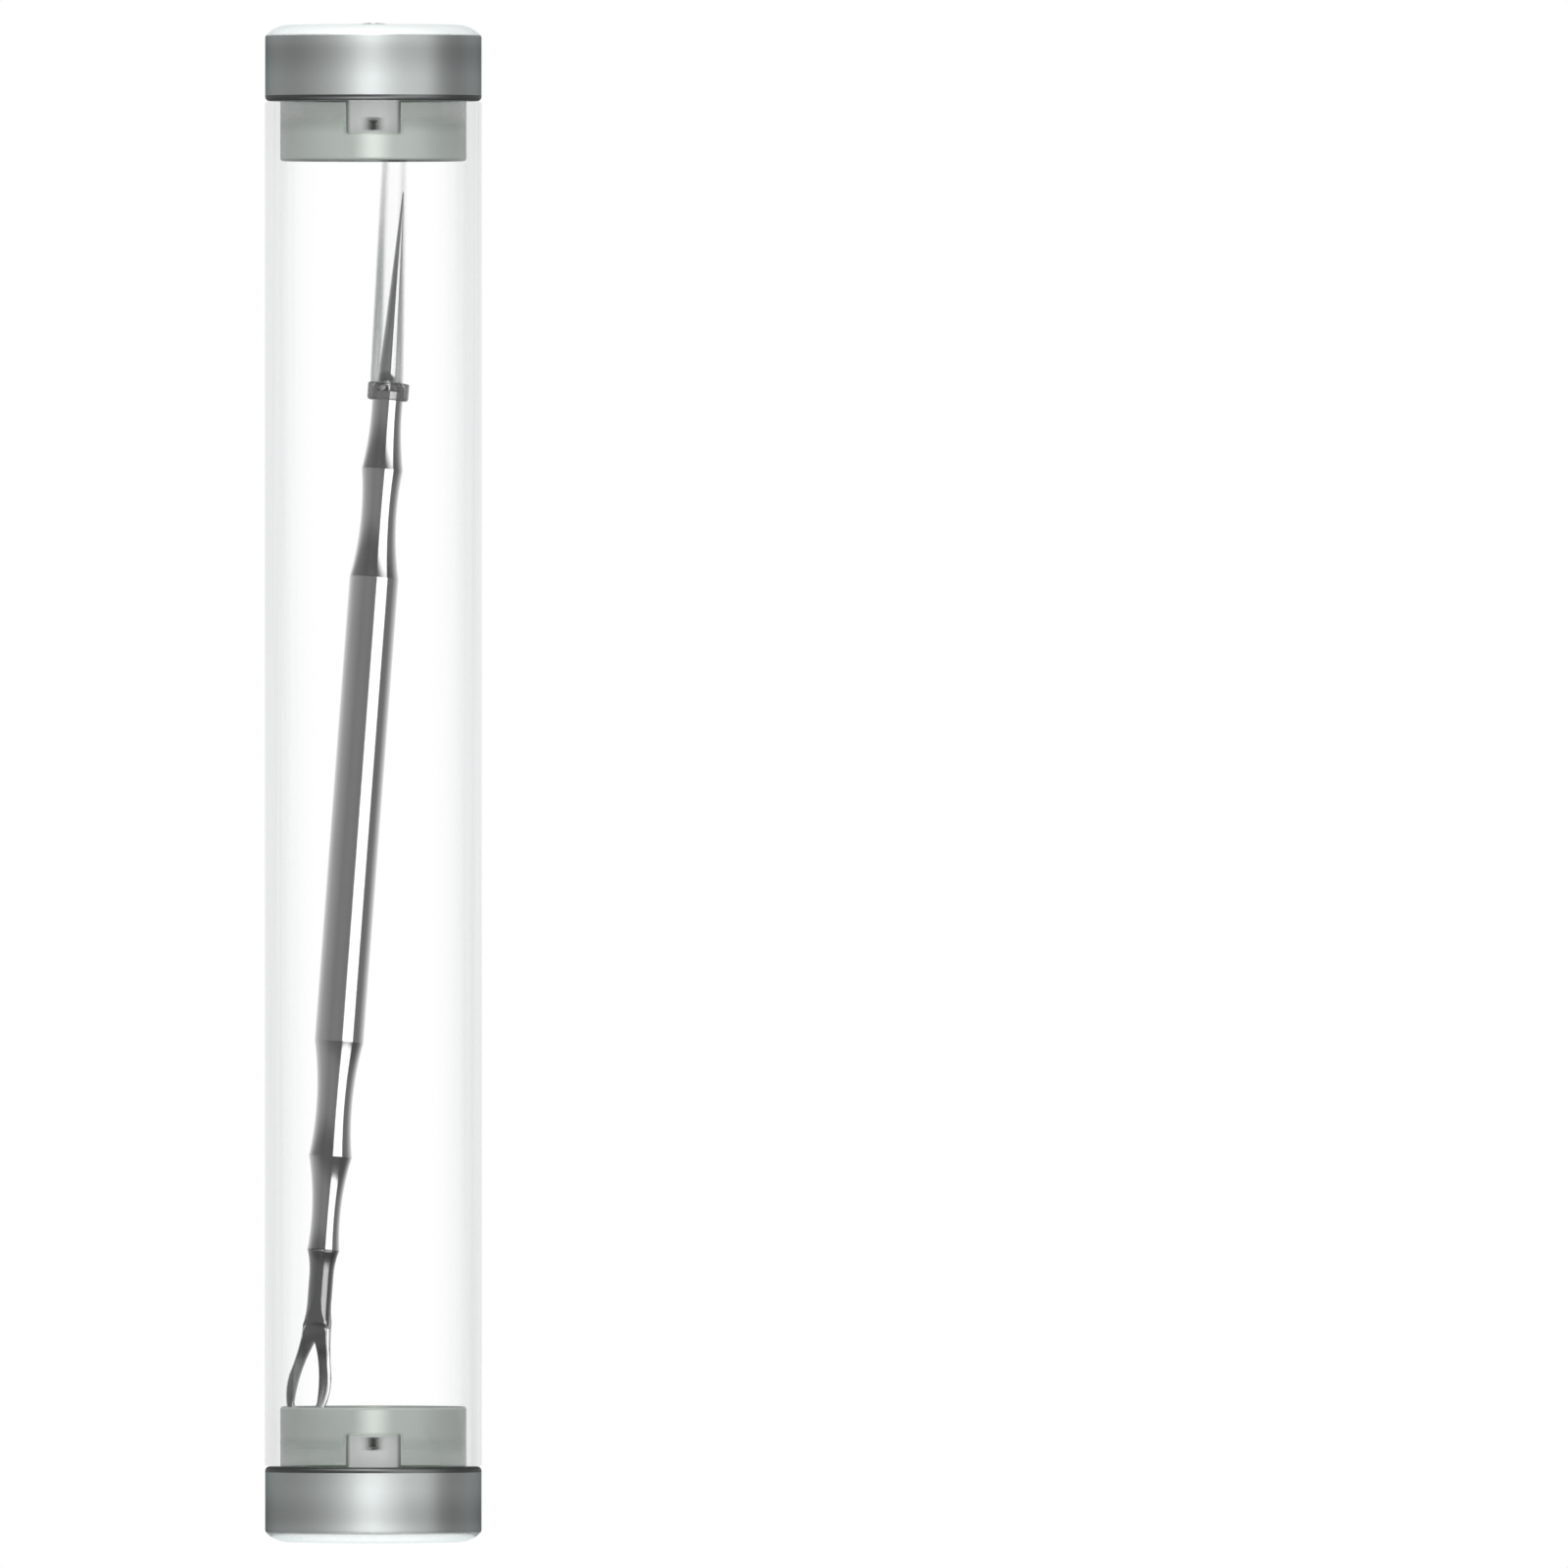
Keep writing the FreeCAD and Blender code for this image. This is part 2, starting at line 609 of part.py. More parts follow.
os.makedirs("parts", exist_ok=True)
for body in parts:
    body.Shape.exportStep(f"parts/{body.Label}.step")
    box = body.Shape.BoundBox
    print(f"{body.Label}: {body.Shape.Volume:.1f} mm3, {box.XMin:.2f} {box.YMin:.2f} {box.ZMin:.2f} to "
          f"{box.XMax:.2f} {box.YMax:.2f} {box.ZMax:.2f}")
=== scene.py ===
import json
import math

import bmesh
import bpy
from bpy.props import FloatProperty, FloatVectorProperty, IntProperty, PointerProperty
from bpy.types import NodeSocket, Operator, Panel, PropertyGroup, Scene
from mathutils import Matrix, Vector


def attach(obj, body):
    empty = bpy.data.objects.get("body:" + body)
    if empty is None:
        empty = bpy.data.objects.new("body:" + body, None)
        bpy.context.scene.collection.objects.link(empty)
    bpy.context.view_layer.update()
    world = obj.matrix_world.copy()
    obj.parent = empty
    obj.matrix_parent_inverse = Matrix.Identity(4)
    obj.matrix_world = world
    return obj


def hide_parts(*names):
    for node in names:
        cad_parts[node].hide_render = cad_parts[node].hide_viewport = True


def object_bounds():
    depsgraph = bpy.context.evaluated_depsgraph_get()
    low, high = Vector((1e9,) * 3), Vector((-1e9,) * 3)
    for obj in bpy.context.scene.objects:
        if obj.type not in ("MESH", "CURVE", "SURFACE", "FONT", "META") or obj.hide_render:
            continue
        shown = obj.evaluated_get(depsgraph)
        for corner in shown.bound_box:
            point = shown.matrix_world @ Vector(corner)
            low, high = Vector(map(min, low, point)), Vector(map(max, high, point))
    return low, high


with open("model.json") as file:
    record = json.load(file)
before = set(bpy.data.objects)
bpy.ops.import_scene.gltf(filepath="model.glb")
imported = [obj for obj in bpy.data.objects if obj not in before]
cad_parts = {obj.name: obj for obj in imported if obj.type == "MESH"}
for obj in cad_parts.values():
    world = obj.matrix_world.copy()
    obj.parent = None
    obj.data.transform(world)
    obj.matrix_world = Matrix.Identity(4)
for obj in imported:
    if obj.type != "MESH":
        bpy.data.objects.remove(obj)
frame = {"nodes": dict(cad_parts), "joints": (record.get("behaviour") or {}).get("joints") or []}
CAD_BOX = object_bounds()

bl_info = {
    "name": "Extractor in its storage tube",
    "version": (1, 0, 0),
    "blender": (4, 5, 0),
    "location": "3D View > Sidebar > Extractor",
    "description": "Dresses a double-ended extractor in a clear tube with a metal cap at each end",
    "category": "Object",
}

SIDES = ("bottom", "top")
FULL_TURN = 2 * math.pi
UP = Vector((0, 0, 1))
HANDLE_PARTS = ("loop_node", "loop_span", "barrel", "needle_span", "needle_node")
MERGE = 1e-7
CAD_MERGE = 2e-6


def field(kind, **settings):
    """Gives a maker of one kind of property."""
    return lambda name, description, default: kind(name=name, description=description, default=default,
                                                   **settings)


length = field(FloatProperty, min=0, unit="LENGTH", precision=5)
angle = field(FloatProperty, unit="ROTATION")
share = field(FloatProperty, min=0, max=1, subtype="FACTOR")
amount = field(FloatProperty, min=0)
count = field(IntProperty, min=3)
position = field(FloatVectorProperty, size=3, subtype="TRANSLATION", unit="LENGTH", precision=5)
colour = field(FloatVectorProperty, size=3, min=0, max=1, subtype="COLOR")


class TubeSizes(PropertyGroup):
    outer_dia: length("Outer diameter", "Across the outside", 0.020)
    wall: length("Wall", "Thickness of the wall", 0.0014)
    run: length("Length", "From end to end", 0.1255)
    edge_round: length("Edge round", "Round on the outer edges", 0.00025)
    steps: count("Steps", "Flats round the tube and the caps", 192)


class CapSizes(PropertyGroup):
    height: length("Height", "From the cap's outer face to its lip", 0.007)
    inset: length("Inset", "From the tube's side to its own", 0.00005)
    wall: length("Wall", "Thickness of the cup's side", 0.00055)
    top: length("Top", "Thickness of the cup's top", 0.0006)
    edge_width: length("Edge width", "Width of the cup's curved edge", 0.0022)
    edge_height: length("Edge height", "Height of the cup's curved edge", 0.00105)
    lip_round: length("Lip round", "Round on the cup's lip", 0.0004)
    head_dia: length("Head diameter", "Across the screw's head", 0.0041)
    head_seat: length("Head seat", "Depth of the head's rim in the cup", 0.0001)
    head_round: length("Head round", "Round on the head's edges", 0.00003)
    flange: length("Flange", "Thickness of the plug's flange", 0.0012)
    plug_fit: length("Plug fit", "Free space round the plug", 0.00005)
    plug_reach: length("Plug reach", "Its length inside the tube", 0.0055)
    plug_wall: length("Plug wall", "From the plug's outside to its pocket", 0.00225)
    plug_round: length("Plug round", "Round on the plug's inner end", 0.00025)
    plug_web: length("Plug web", "Plastic between pocket and dish", 0.0004)
    boss_dia: length("Boss diameter", "Across the boss that holds the screw", 0.00505)
    dish_wall: length("Dish wall", "Wall round the plug's dish", 0.0003)
    dish_depth: length("Dish depth", "Depth of the plug's dish", 0.0018)
    shank_dia: length("Screw diameter", "Across the screw's thread", 0.0013)
    screw_reach: length("Screw reach", "Its length past the cap's lip", 0.00235)
    screw_point: length("Screw point", "Length of the screw's point", 0.0006)
    pilot_spare: length("Pilot spare", "Free space past the screw's point", 0.0002)
    window_start: length("Window start", "From the plug's end to the boss's window", 0.0041)
    window_end: length("Window end", "From the plug's end to its other side", 0.0027)
    pitch: length("Thread pitch", "From one turn to the next", 0.00042)
    thread_depth: length("Thread depth", "From the crest to the core", 0.00016)


class ToolPlace(PropertyGroup):
    foot: position("Foot", "Where its axis starts, at the loop's end",
                   (-0.0058213, 0.0012941, 0.01085))
    spin: angle("Spin", "Turn of the tool about its axis", math.radians(-18.0))


class HandleSizes(PropertyGroup):
    start: length("Start", "From the loop's end to the handle", 0.0161)
    loop_end_dia: length("Loop end diameter", "Across the end at the loop", 0.00295)
    loop_node: length("Loop node", "Length of the part at the loop", 0.0086)
    loop_node_waist: length("Loop node waist", "Across its waist", 0.00266)
    loop_node_at: share("Loop node waist at", "The waist's place along it", 0.42)
    loop_mid_dia: length("Loop ridge diameter", "Across the ridge after it", 0.00397)
    loop_span: length("Loop span", "Length of the part before the barrel", 0.0106)
    loop_span_waist: length("Loop span waist", "Across its waist", 0.0033)
    loop_span_at: share("Loop span waist at", "The waist's place along it", 0.5)
    barrel_dia: length("Barrel diameter", "Across the plain barrel", 0.0045)
    barrel: length("Barrel", "Length of the barrel", 0.04285)
    needle_span: length("Needle span", "Length of the part after the barrel", 0.010)
    needle_span_waist: length("Needle span waist", "Across its waist", 0.00326)
    needle_span_at: share("Needle span waist at", "The waist's place along it", 0.55)
    needle_mid_dia: length("Needle ridge diameter", "Across the ridge after it", 0.0038)
    needle_node: length("Needle node", "Length of the part at the needle", 0.00715)
    needle_node_waist: length("Needle node waist", "Across its waist", 0.00314)
    needle_node_at: share("Needle node waist at", "The waist's place along it", 0.32)
    needle_end_dia: length("Needle end diameter", "Across the end at the needle", 0.0029)
    steps: count("Steps", "Flats round the handle", 144)


class NeedleSizes(PropertyGroup):
    run: length("Length", "From the handle to the tip", 0.01845)
    root_dia: length("Root diameter", "Across the start of the cone", 0.0019)
    flare: length("Flare", "Length of the flare at the handle", 0.0023)
    flare_waist: length("Flare waist", "Across the flare's waist", 0.00216)
    flare_at: share("Flare waist at", "The waist's place along it", 0.42)
    tip_dia: length("Tip diameter", "Across the rounded tip", 0.00012)
    steps: count("Steps", "Flats round the needle", 96)


class SleeveSizes(PropertyGroup):
    fit: length("Fit", "Free space round the handle's end", 0.00004)
    overlap: length("Overlap", "The bead's length over the handle", 0.0008)
    bead_dia: length("Bead diameter", "Across the bead", 0.0038)
    bead: length("Bead", "Length of the bead", 0.0016)
    bead_round: length("Bead round", "Round on the bead's lower edge", 0.00028)
    head_round: length("Bead head round", "Round on the bead's upper edge", 0.00009)
    throat_dia: length("Throat", "Across the hole at the bead's head", 0.00248)
    throat: length("Throat length", "Length of that hole", 0.00015)
    root_dia: length("Tube root diameter", "Across the thin tube at the bead", 0.0031)
    end_dia: length("Tube end diameter", "Across its open end", 0.0024)
    wall: length("Wall", "Thickness of the thin tube", 0.00012)
    spare: length("Spare", "From the needle's tip to the open end", 0.0037)
    shift: length("Shift", "From the bead's middle to the thin tube's", 0.0002)
    tilt: angle("Tilt", "How far the thin tube leans", math.radians(2.45))
    steps: count("Steps", "Flats round the sleeve", 96)


class LoopSizes(PropertyGroup):
    edge_round: length("Edge round", "Round on the ground edges", 0.00009)
    side_round: length("Side round", "Round on the outer front edges", 0.00022)
    leaf_end: length("Leaf end", "Height of their bright part", 0.0088)


class Finishes(PropertyGroup):
    cap: colour("Cap metal", "Satin metal of the caps", (0.76, 0.80, 0.79))
    steel: colour("Steel", "Turned steel of the handle", (0.80, 0.80, 0.80))
    ground: colour("Ground steel", "Steel of the loop", (0.37, 0.37, 0.37))
    head: colour("Screw head", "Steel of the screws' heads", (0.32, 0.33, 0.33))
    screw: colour("Screw steel", "Steel of the screws' threads", (0.85, 0.86, 0.86))
    plug: colour("Plug plastic", "Milky plastic at the plugs' ends", (0.235, 0.255, 0.237))
    plug_tint: colour("Plug tint", "Tint of the plugs' clearer side", (0.092, 0.133, 0.102))
    boss: colour("Boss plastic", "Pale plastic of the bosses", (0.93, 0.95, 0.94))
    disc: colour("Disc plastic", "Plastic of the discs in the caps", (0.50, 0.51, 0.50))
    tube: colour("Tube plastic", "Clear plastic of the tube", (0.34, 0.36, 0.37))
    sleeve: colour("Sleeve plastic", "Clear plastic of the sleeve", (0.36, 0.37, 0.37))
    bead: colour("Bead plastic", "Plastic of the sleeve's bead", (0.11, 0.11, 0.11))


class StageSettings(PropertyGroup):
    eye: position("Camera place", "Where the camera stands", (0.03775, -5.60538, 0.06973))
    lens: amount("Lens", "Focal length in millimetres", 1400.0)
    floor_radius: length("Floor radius", "From its middle to its edge", 0.032)
    floor_tone: colour("Floor", "Colour of the floor", (0.40, 0.40, 0.40))
    fill: amount("Fill", "Soft light from all round", 0.60)
    front_fill: amount("Front fill", "More soft light from the front", 1.31)
    key_place: position("Key place", "Where the high front lamp is", (-0.1, -0.5, 0.85))
    key_power: amount("Key power", "Its power in watts", 10.0)
    back_place: position("Back place", "Where the level back lamp is", (0.1, 0.6, 0.1))
    back_power: amount("Back power", "Its power in watts", 2.7)
    lamp_width: length("Lamp width", "Across each of these lamps", 0.4)
    lamp_height: length("Lamp height", "From its lower to its upper edge", 0.35)
    box_power: amount("Light box power", "Its power in watts", 0.110)
    box_heading: angle("Light box heading", "From the camera round to it", math.radians(41.5))
    box_distance: length("Light box distance", "From the tube to the light box", 0.15)
    box_width: length("Light box width", "From side to side", 0.15)
    box_sink: length("Light box sink", "From the floor down to its lower edge", 0.01)
    box_height: length("Light box height", "From its lower to its upper edge", 0.176)


GROUPS = {
    "extractor_tube": TubeSizes,
    "extractor_cap": CapSizes,
    "extractor_place": ToolPlace,
    "extractor_handle": HandleSizes,
    "extractor_needle": NeedleSizes,
    "extractor_sleeve": SleeveSizes,
    "extractor_loop": LoopSizes,
    "extractor_finish": Finishes,
    "extractor_stage": StageSettings,
}


# Outlines, drawn as radius and height

def bow(start, middle, end, steps):
    """Gives the places along an arc through three places, without its start."""
    (ax, ay), (bx, by), (cx, cy) = start, middle, end
    double = 2 * (ax * (by - cy) + bx * (cy - ay) + cx * (ay - by))
    a2, b2, c2 = ax * ax + ay * ay, bx * bx + by * by, cx * cx + cy * cy
    ux = (a2 * (by - cy) + b2 * (cy - ay) + c2 * (ay - by)) / double
    uy = (a2 * (cx - bx) + b2 * (ax - cx) + c2 * (bx - ax)) / double
    radius = math.hypot(ax - ux, ay - uy)
    first = math.atan2(ay - uy, ax - ux)
    sweep = math.remainder(math.atan2(cy - uy, cx - ux) - first, FULL_TURN)
    passed = math.remainder(math.atan2(by - uy, bx - ux) - first, FULL_TURN)
    if passed * sweep < 0:
        sweep -= math.copysign(FULL_TURN, sweep)
    turns = [first + sweep * step / steps for step in range(1, steps + 1)]
    return [(ux + radius * math.cos(turn), uy + radius * math.sin(turn)) for turn in turns]


def eased(corners, steps=5, hold=0.3):
    """Rounds the corners that name a radius, with places beside each that keep the flats flat."""
    places = []
    for index, corner in enumerate(corners):
        if len(corner) == 2:
            places.append(corner)
            continue
        here = Vector(corner[:2])
        before = (Vector(corners[index - 1][:2]) - here).normalized()
        after = (Vector(corners[(index + 1) % len(corners)][:2]) - here).normalized()
        half = before.angle(after) / 2
        reach = corner[2] / math.tan(half)
        start, end = here + before * reach, here + after * reach
        centre = here + (before + after).normalized() * corner[2] / math.sin(half)
        middle = centre + (here - centre).normalized() * corner[2]
        places += [start + before * reach * hold, start] + bow(start, middle, end, steps)
        places.append(end + after * reach * hold)
    return places


# Meshes

def turned(places, steps):
    """Turns a closed outline once about the Z axis."""
    mesh = bmesh.new()
    corners = [mesh.verts.new((radius, 0, height)) for radius, height in places]
    edges = [mesh.edges.new(pair) for pair in zip(corners, corners[1:] + corners[:1])
             if pair[0].co.x + pair[1].co.x > MERGE]
    bmesh.ops.spin(mesh, geom=corners + edges, cent=(0, 0, 0), axis=UP, angle=FULL_TURN, steps=steps,
                   use_merge=True)
    close_up(mesh)
    return mesh


def taken_over(node):
    """Starts a mesh from the CAD's solid of this name."""
    mesh = bmesh.new()
    mesh.from_mesh(frame["nodes"][node].data)
    bmesh.ops.remove_doubles(mesh, verts=mesh.verts, dist=CAD_MERGE)
    return mesh


def close_up(mesh):
    """Merges the doubles and turns every face outward."""
    bmesh.ops.remove_doubles(mesh, verts=mesh.verts, dist=MERGE)
    bmesh.ops.dissolve_degenerate(mesh, edges=mesh.edges, dist=MERGE)
    bmesh.ops.recalc_face_normals(mesh, faces=mesh.faces)


def finished(name, mesh):
    """Turns a bmesh into mesh data."""
    data = bpy.data.meshes.new(name)
    mesh.to_mesh(data)
    mesh.free()
    return data


def join(mesh, other):
    """Adds another mesh to the first."""
    carrier = finished("carrier", other)
    mesh.from_mesh(carrier)
    bpy.data.meshes.remove(carrier)


def set_up(name, data):
    """Puts data into the scene as an object."""
    thing = bpy.data.objects.new(name, data)
    bpy.context.scene.collection.objects.link(thing)
    return thing


def sharp_edges(mesh, degrees):
    """Gives the edges between faces that turn by more than this."""
    least = math.radians(degrees)
    return [edge for edge in mesh.edges if len(edge.link_faces) == 2 and edge.calc_face_angle() > least]


def bevel(mesh, edges, offset, segments, clamp_overlap):
    """Rounds edges, and gives the new faces."""
    return bmesh.ops.bevel(mesh, geom=edges, offset=offset, segments=segments, profile=0.5,
                           affect="EDGES", material=-1, clamp_overlap=clamp_overlap)["faces"]


def make_piece(name, mesh, materials, body, node, crease_degrees=30):
    """Makes a piece of a finished mesh, hangs it on the body it rides on, and hides the CAD solid it
    stands for.
    """
    data = finished(name, mesh)
    data.shade_smooth()
    data.set_sharp_from_angle(angle=math.radians(crease_degrees))
    for material in materials:
        data.materials.append(material)
    piece = set_up(name, data)
    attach(piece, body)
    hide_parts(node)


def paint(mesh, index, chosen):
    """Gives the faces whose middle is chosen another of the piece's materials."""
    for face in mesh.faces:
        middle = face.calc_center_median()
        if chosen(math.hypot(middle.x, middle.y), middle.z):
            face.material_index = index


def cap_frame(side):
    """Gives the place of a cap's pieces, which are drawn as the bottom cap's."""
    if side == "bottom":
        return Matrix.Identity(4)
    scene = bpy.context.scene
    whole = 2 * scene.extractor_cap.height + scene.extractor_tube.run
    return Matrix.Translation((0, 0, whole)) @ Matrix.Rotation(math.pi, 4, "X")


def tool_frame():
    """Gives the place of the tool, which is drawn standing on its loop's end."""
    pull = next(joint for joint in frame["joints"] if joint["name"] == "sleeve_pull")
    place = bpy.context.scene.extractor_place
    lean = UP.rotation_difference(Vector(pull["axis"])).to_matrix().to_4x4()
    return Matrix.Translation(place.foot) @ lean @ Matrix.Rotation(place.spin, 4, "Z")


def handle_end():
    """Gives the height of the handle's needle end over the foot."""
    grip = bpy.context.scene.extractor_handle
    return grip.start + sum(getattr(grip, part) for part in HANDLE_PARTS)


# Materials

NOISE_SPAN = (0.3, 0.7)
DRAWN_LINES = (0.35, 0.65, 0.85, 1.15)
EDGE_SHADE_FADE = (0.3, 0.9, 1.0, 0.3)
END_SHADE_SHARE, SIDE_SHADE_SHARE = 0.2, 0.4
PLUG_ROUGHNESS = (0.28, 0.42)
DENSE, TINT_DENSE, CLOUD_ALPHA = 0.97, 0.95, 0.04
COLUMN_FACING = 0.03
HIGHLIGHT_TONE = 1.65
SOFT_EDGE, SOFT_RUN = 0.0002, 0.0006
FACE_ON, TINT_FACE_ON = (0.03, 0.06), (0.03, 0.05)
SHADE_BAND_INNER = (0.0052, 0.0026)
SHADE_BAND_OUTER = (0.0024, 0.0011)


def new_material(name):
    material = bpy.data.materials.new(name)
    material.use_nodes = True
    tree = material.node_tree
    return material, tree, tree.nodes["Principled BSDF"]


def add(tree, kind, settings=None, **sockets):
    """Adds a shader node, sets it up with its inputs, and gives its outputs."""
    node = tree.nodes.new("ShaderNode" + kind)
    for key, value in (settings or {}).items():
        setattr(node, key, value)
    put(tree, node, **sockets)
    return node.outputs


def put(tree, node, **sockets):
    """Links or sets inputs, which go by their name or, after an i, by their number."""
    for key, value in sockets.items():
        name = int(key[1:]) if key[0] == "i" and key[1:].isdigit() else key.replace("_", " ")
        if isinstance(value, NodeSocket):
            tree.links.new(value, node.inputs[name])
        else:
            node.inputs[name].default_value = value


def maths(operation):
    """Gives a function that adds one kind of calculation."""
    return lambda tree, first, second=0.0: add(tree, "Math", {"operation": operation}, i0=first,
                                               i1=second)[0]


plus, minus, times, over = maths("ADD"), maths("SUBTRACT"), maths("MULTIPLY"), maths("DIVIDE")
highest, is_less, size_of = maths("MAXIMUM"), maths("LESS_THAN"), maths("ABSOLUTE")
root_of, turn_of = maths("SQRT"), maths("ARCTAN2")


def ranged(tree, value, low, high, to_low=0.0, to_high=1.0):
    """Maps a range softly onto another."""
    return add(tree, "MapRange", {"interpolation_type": "SMOOTHSTEP"}, Value=value, From_Min=low,
               From_Max=high, To_Min=to_low, To_Max=to_high)["Result"]


def parts_of(tree, vector):
    return add(tree, "SeparateXYZ", Vector=vector)


def object_place(tree):
    return add(tree, "TexCoord")["Object"]


def radius_of(tree, parts):
    """Gives the distance from the Z axis."""
    flat = add(tree, "CombineXYZ", X=parts["X"], Y=parts["Y"])["Vector"]
    return add(tree, "VectorMath", {"operation": "LENGTH"}, i0=flat)["Value"]


def seen_edge_on(tree):
    """Gives 0 where a surface is seen face-on and 1 where edge-on."""
    return add(tree, "LayerWeight", Blend=0.5)["Facing"]


def noise_at(tree, place, scale, detail):
    return add(tree, "TexNoise", Vector=place["Vector"], Scale=scale, Detail=detail)["Fac"]


def along(tree, scale, stretch=(1, 1, 1), detail=3.0):
    """Noise that reads object coordinates stretched by a factor for each axis."""
    place = add(tree, "Mapping", Vector=object_place(tree), Scale=stretch)
    return noise_at(tree, place, scale, detail)


def ring_grain(tree, scale, detail=4.0):
    """Noise in rings round the Z axis, as a lathe leaves it."""
    parts = parts_of(tree, object_place(tree))
    rings = add(tree, "CombineXYZ", X=radius_of(tree, parts), Y=parts["Z"])
    return noise_at(tree, rings, scale, detail)


def bump(tree, height, strength, distance):
    return add(tree, "Bump", Height=height, Strength=strength, Distance=distance)["Normal"]


def toned(base, factor):
    """Gives a colour made darker or lighter by a factor."""
    return [min(part * factor, 1) for part in base]


def blend_tones(tree, share_of_second, first, second):
    """Mixes two colours, each three numbers or an output."""
    first, second = (item if isinstance(item, NodeSocket) else (*item, 1)
                     for item in (first, second))
    return add(tree, "Mix", {"data_type": "RGBA"}, i6=first, i7=second, i0=share_of_second)[2]


def mottled(tree, noise, base, darkest):
    """Darkens a colour, down to a share of it, where the noise is low."""
    return blend_tones(tree, noise, toned(base, darkest), base)


def from_middle(tree):
    """Gives the distance from half the whole's height, and that height."""
    scene = bpy.context.scene
    middle = scene.extractor_cap.height + scene.extractor_tube.run / 2
    height = parts_of(tree, object_place(tree))["Z"]
    return size_of(tree, minus(tree, height, middle)), middle


def painted_shade_band(tree):
    """Gives 0 on the band of the cup's side where shade is painted, placed from the outer face."""
    height, half = from_middle(tree)
    inner = ranged(tree, height, half - SHADE_BAND_INNER[0], half - SHADE_BAND_INNER[1], 1.0, 0.0)
    outer = ranged(tree, height, half - SHADE_BAND_OUTER[0], half - SHADE_BAND_OUTER[1])
    return plus(tree, inner, outer)


def cap_metal(name, base, low, edge, anisotropy=0.0, metallic=1.0, band_shade=None):
    """Metal turned in fine rings, with a roughness from low upwards."""
    material, tree, shader = new_material(name)
    grain = ring_grain(tree, scale=9000.0)
    blotch = along(tree, scale=260.0)
    tone = mottled(tree, grain, base, darkest=0.93)
    # Painted shade: the cup's side is made darker in a soft band a few millimetres from its outer face.
    if band_shade:
        tone = blend_tones(tree, painted_shade_band(tree), toned(base, band_shade), tone)
    rough = plus(tree, times(tree, grain, 0.10), times(tree, blotch, 0.08))
    rings = add(tree, "Tangent", {"direction_type": "RADIAL", "axis": "Z"})[0]
    put(tree, shader, Base_Color=tone, Metallic=metallic, Roughness=plus(tree, rough, low),
        Specular_Tint=(*edge, 1), Anisotropic=anisotropy, Anisotropic_Rotation=0.25, Tangent=rings,
        Normal=bump(tree, grain, strength=0.25, distance=0.000004))
    return material


def steel(name, base, low, high, scale, stretch=(1, 1, 1), metallic=1.0):
    """Steel whose grain and roughness, from low to high, come from noise."""
    material, tree, shader = new_material(name)
    grain = along(tree, scale, stretch, detail=5.0)
    cloud = along(tree, scale=500.0, stretch=(1, 1, 0.3), detail=2.0)
    rough = plus(tree, times(tree, grain, high - low), low)
    put(tree, shader, Base_Color=mottled(tree, cloud, base, darkest=0.9), Metallic=metallic,
        Roughness=rough, Normal=bump(tree, grain, strength=0.15, distance=0.000003))
    return material


def start_plug_plastic(name):
    """Starts a plastic with faint clouds in its gloss."""
    material, tree, shader = new_material(name)
    cloud = along(tree, scale=300.0, stretch=(1, 1, 0.5))
    put(tree, shader, Roughness=ranged(tree, cloud, *NOISE_SPAN, *PLUG_ROUGHNESS),
        Normal=bump(tree, cloud, strength=0.1, distance=0.00002))
    return material, tree, shader, cloud, seen_edge_on(tree)


def column(tree, facing, width):
    """Gives 1 down the middle of a round thing, falling to 0 at a facing."""
    return ranged(tree, root_of(tree, facing), 0.0, math.sqrt(width), 1.0, 0.0)


def milky_plastic(name, base, column_facing, highlight_tone, column_alpha, edge, edge_shade_tone, window=None,
                  painted_glow=0.0):
    """Milky plastic with faint clouds, lighter down its middle as a painted highlight and darker at its
    sides as painted shade.

    Its clearer middle shows in a window between two distances from the cap's outer face. It may also
    glow a little, as painted light.
    """
    material, tree, shader, cloud, facing = start_plug_plastic(name)
    middle = column(tree, facing, column_facing)
    tone = mottled(tree, cloud, base, darkest=0.94)
    # Painted highlight down the middle and painted shade at the sides, set by how squarely the surface
    # is seen.
    tone = blend_tones(tree, middle, tone, toned(base, highlight_tone))
    tone = blend_tones(tree, ranged(tree, facing, *edge), tone, toned(base, edge_shade_tone))
    if window:
        height, half = from_middle(tree)
        first, last = half - window[0], half - window[1]
        middle = times(tree, middle, ranged(tree, height, first, first - SOFT_EDGE))
        middle = times(tree, middle, ranged(tree, height, last, last + SOFT_EDGE))
    dense = minus(tree, DENSE, times(tree, middle, DENSE - column_alpha))
    # Any emission here is painted light: the boss glows as if lit through the plug.
    put(tree, shader, Base_Color=tone, Emission_Color=tone, Emission_Strength=painted_glow,
        Alpha=minus(tree, dense, times(tree, cloud, CLOUD_ALPHA)))
    return material


def tinted_plastic(name, near, far, clear, start, end):
    """Tinted plastic that turns milky towards the plug's end, with a painted highlight down the milky
    part's middle.

    It turns between two distances from the cap's outer face, and late where it is seen face-on. Clear
    gives the density of the tinted part face-on and further round.
    """
    material, tree, shader, cloud, facing = start_plug_plastic(name)
    height, half = from_middle(tree)
    early = ranged(tree, height, half - start, half - end + SOFT_EDGE)
    late = ranged(tree, height, half - end + SOFT_RUN, half - end)
    milky = plus(tree, late, times(tree, minus(tree, early, late), ranged(tree, facing, *FACE_ON)))
    tone = mottled(tree, cloud, far, darkest=0.94)
    tone = blend_tones(tree, column(tree, facing, COLUMN_FACING), tone, toned(far, HIGHLIGHT_TONE))
    body = ranged(tree, facing, *TINT_FACE_ON, *clear)
    rest = times(tree, minus(tree, TINT_DENSE, body), times(tree, milky, milky))
    put(tree, shader, Base_Color=blend_tones(tree, milky, near, tone), Alpha=plus(tree, body, rest))
    return material


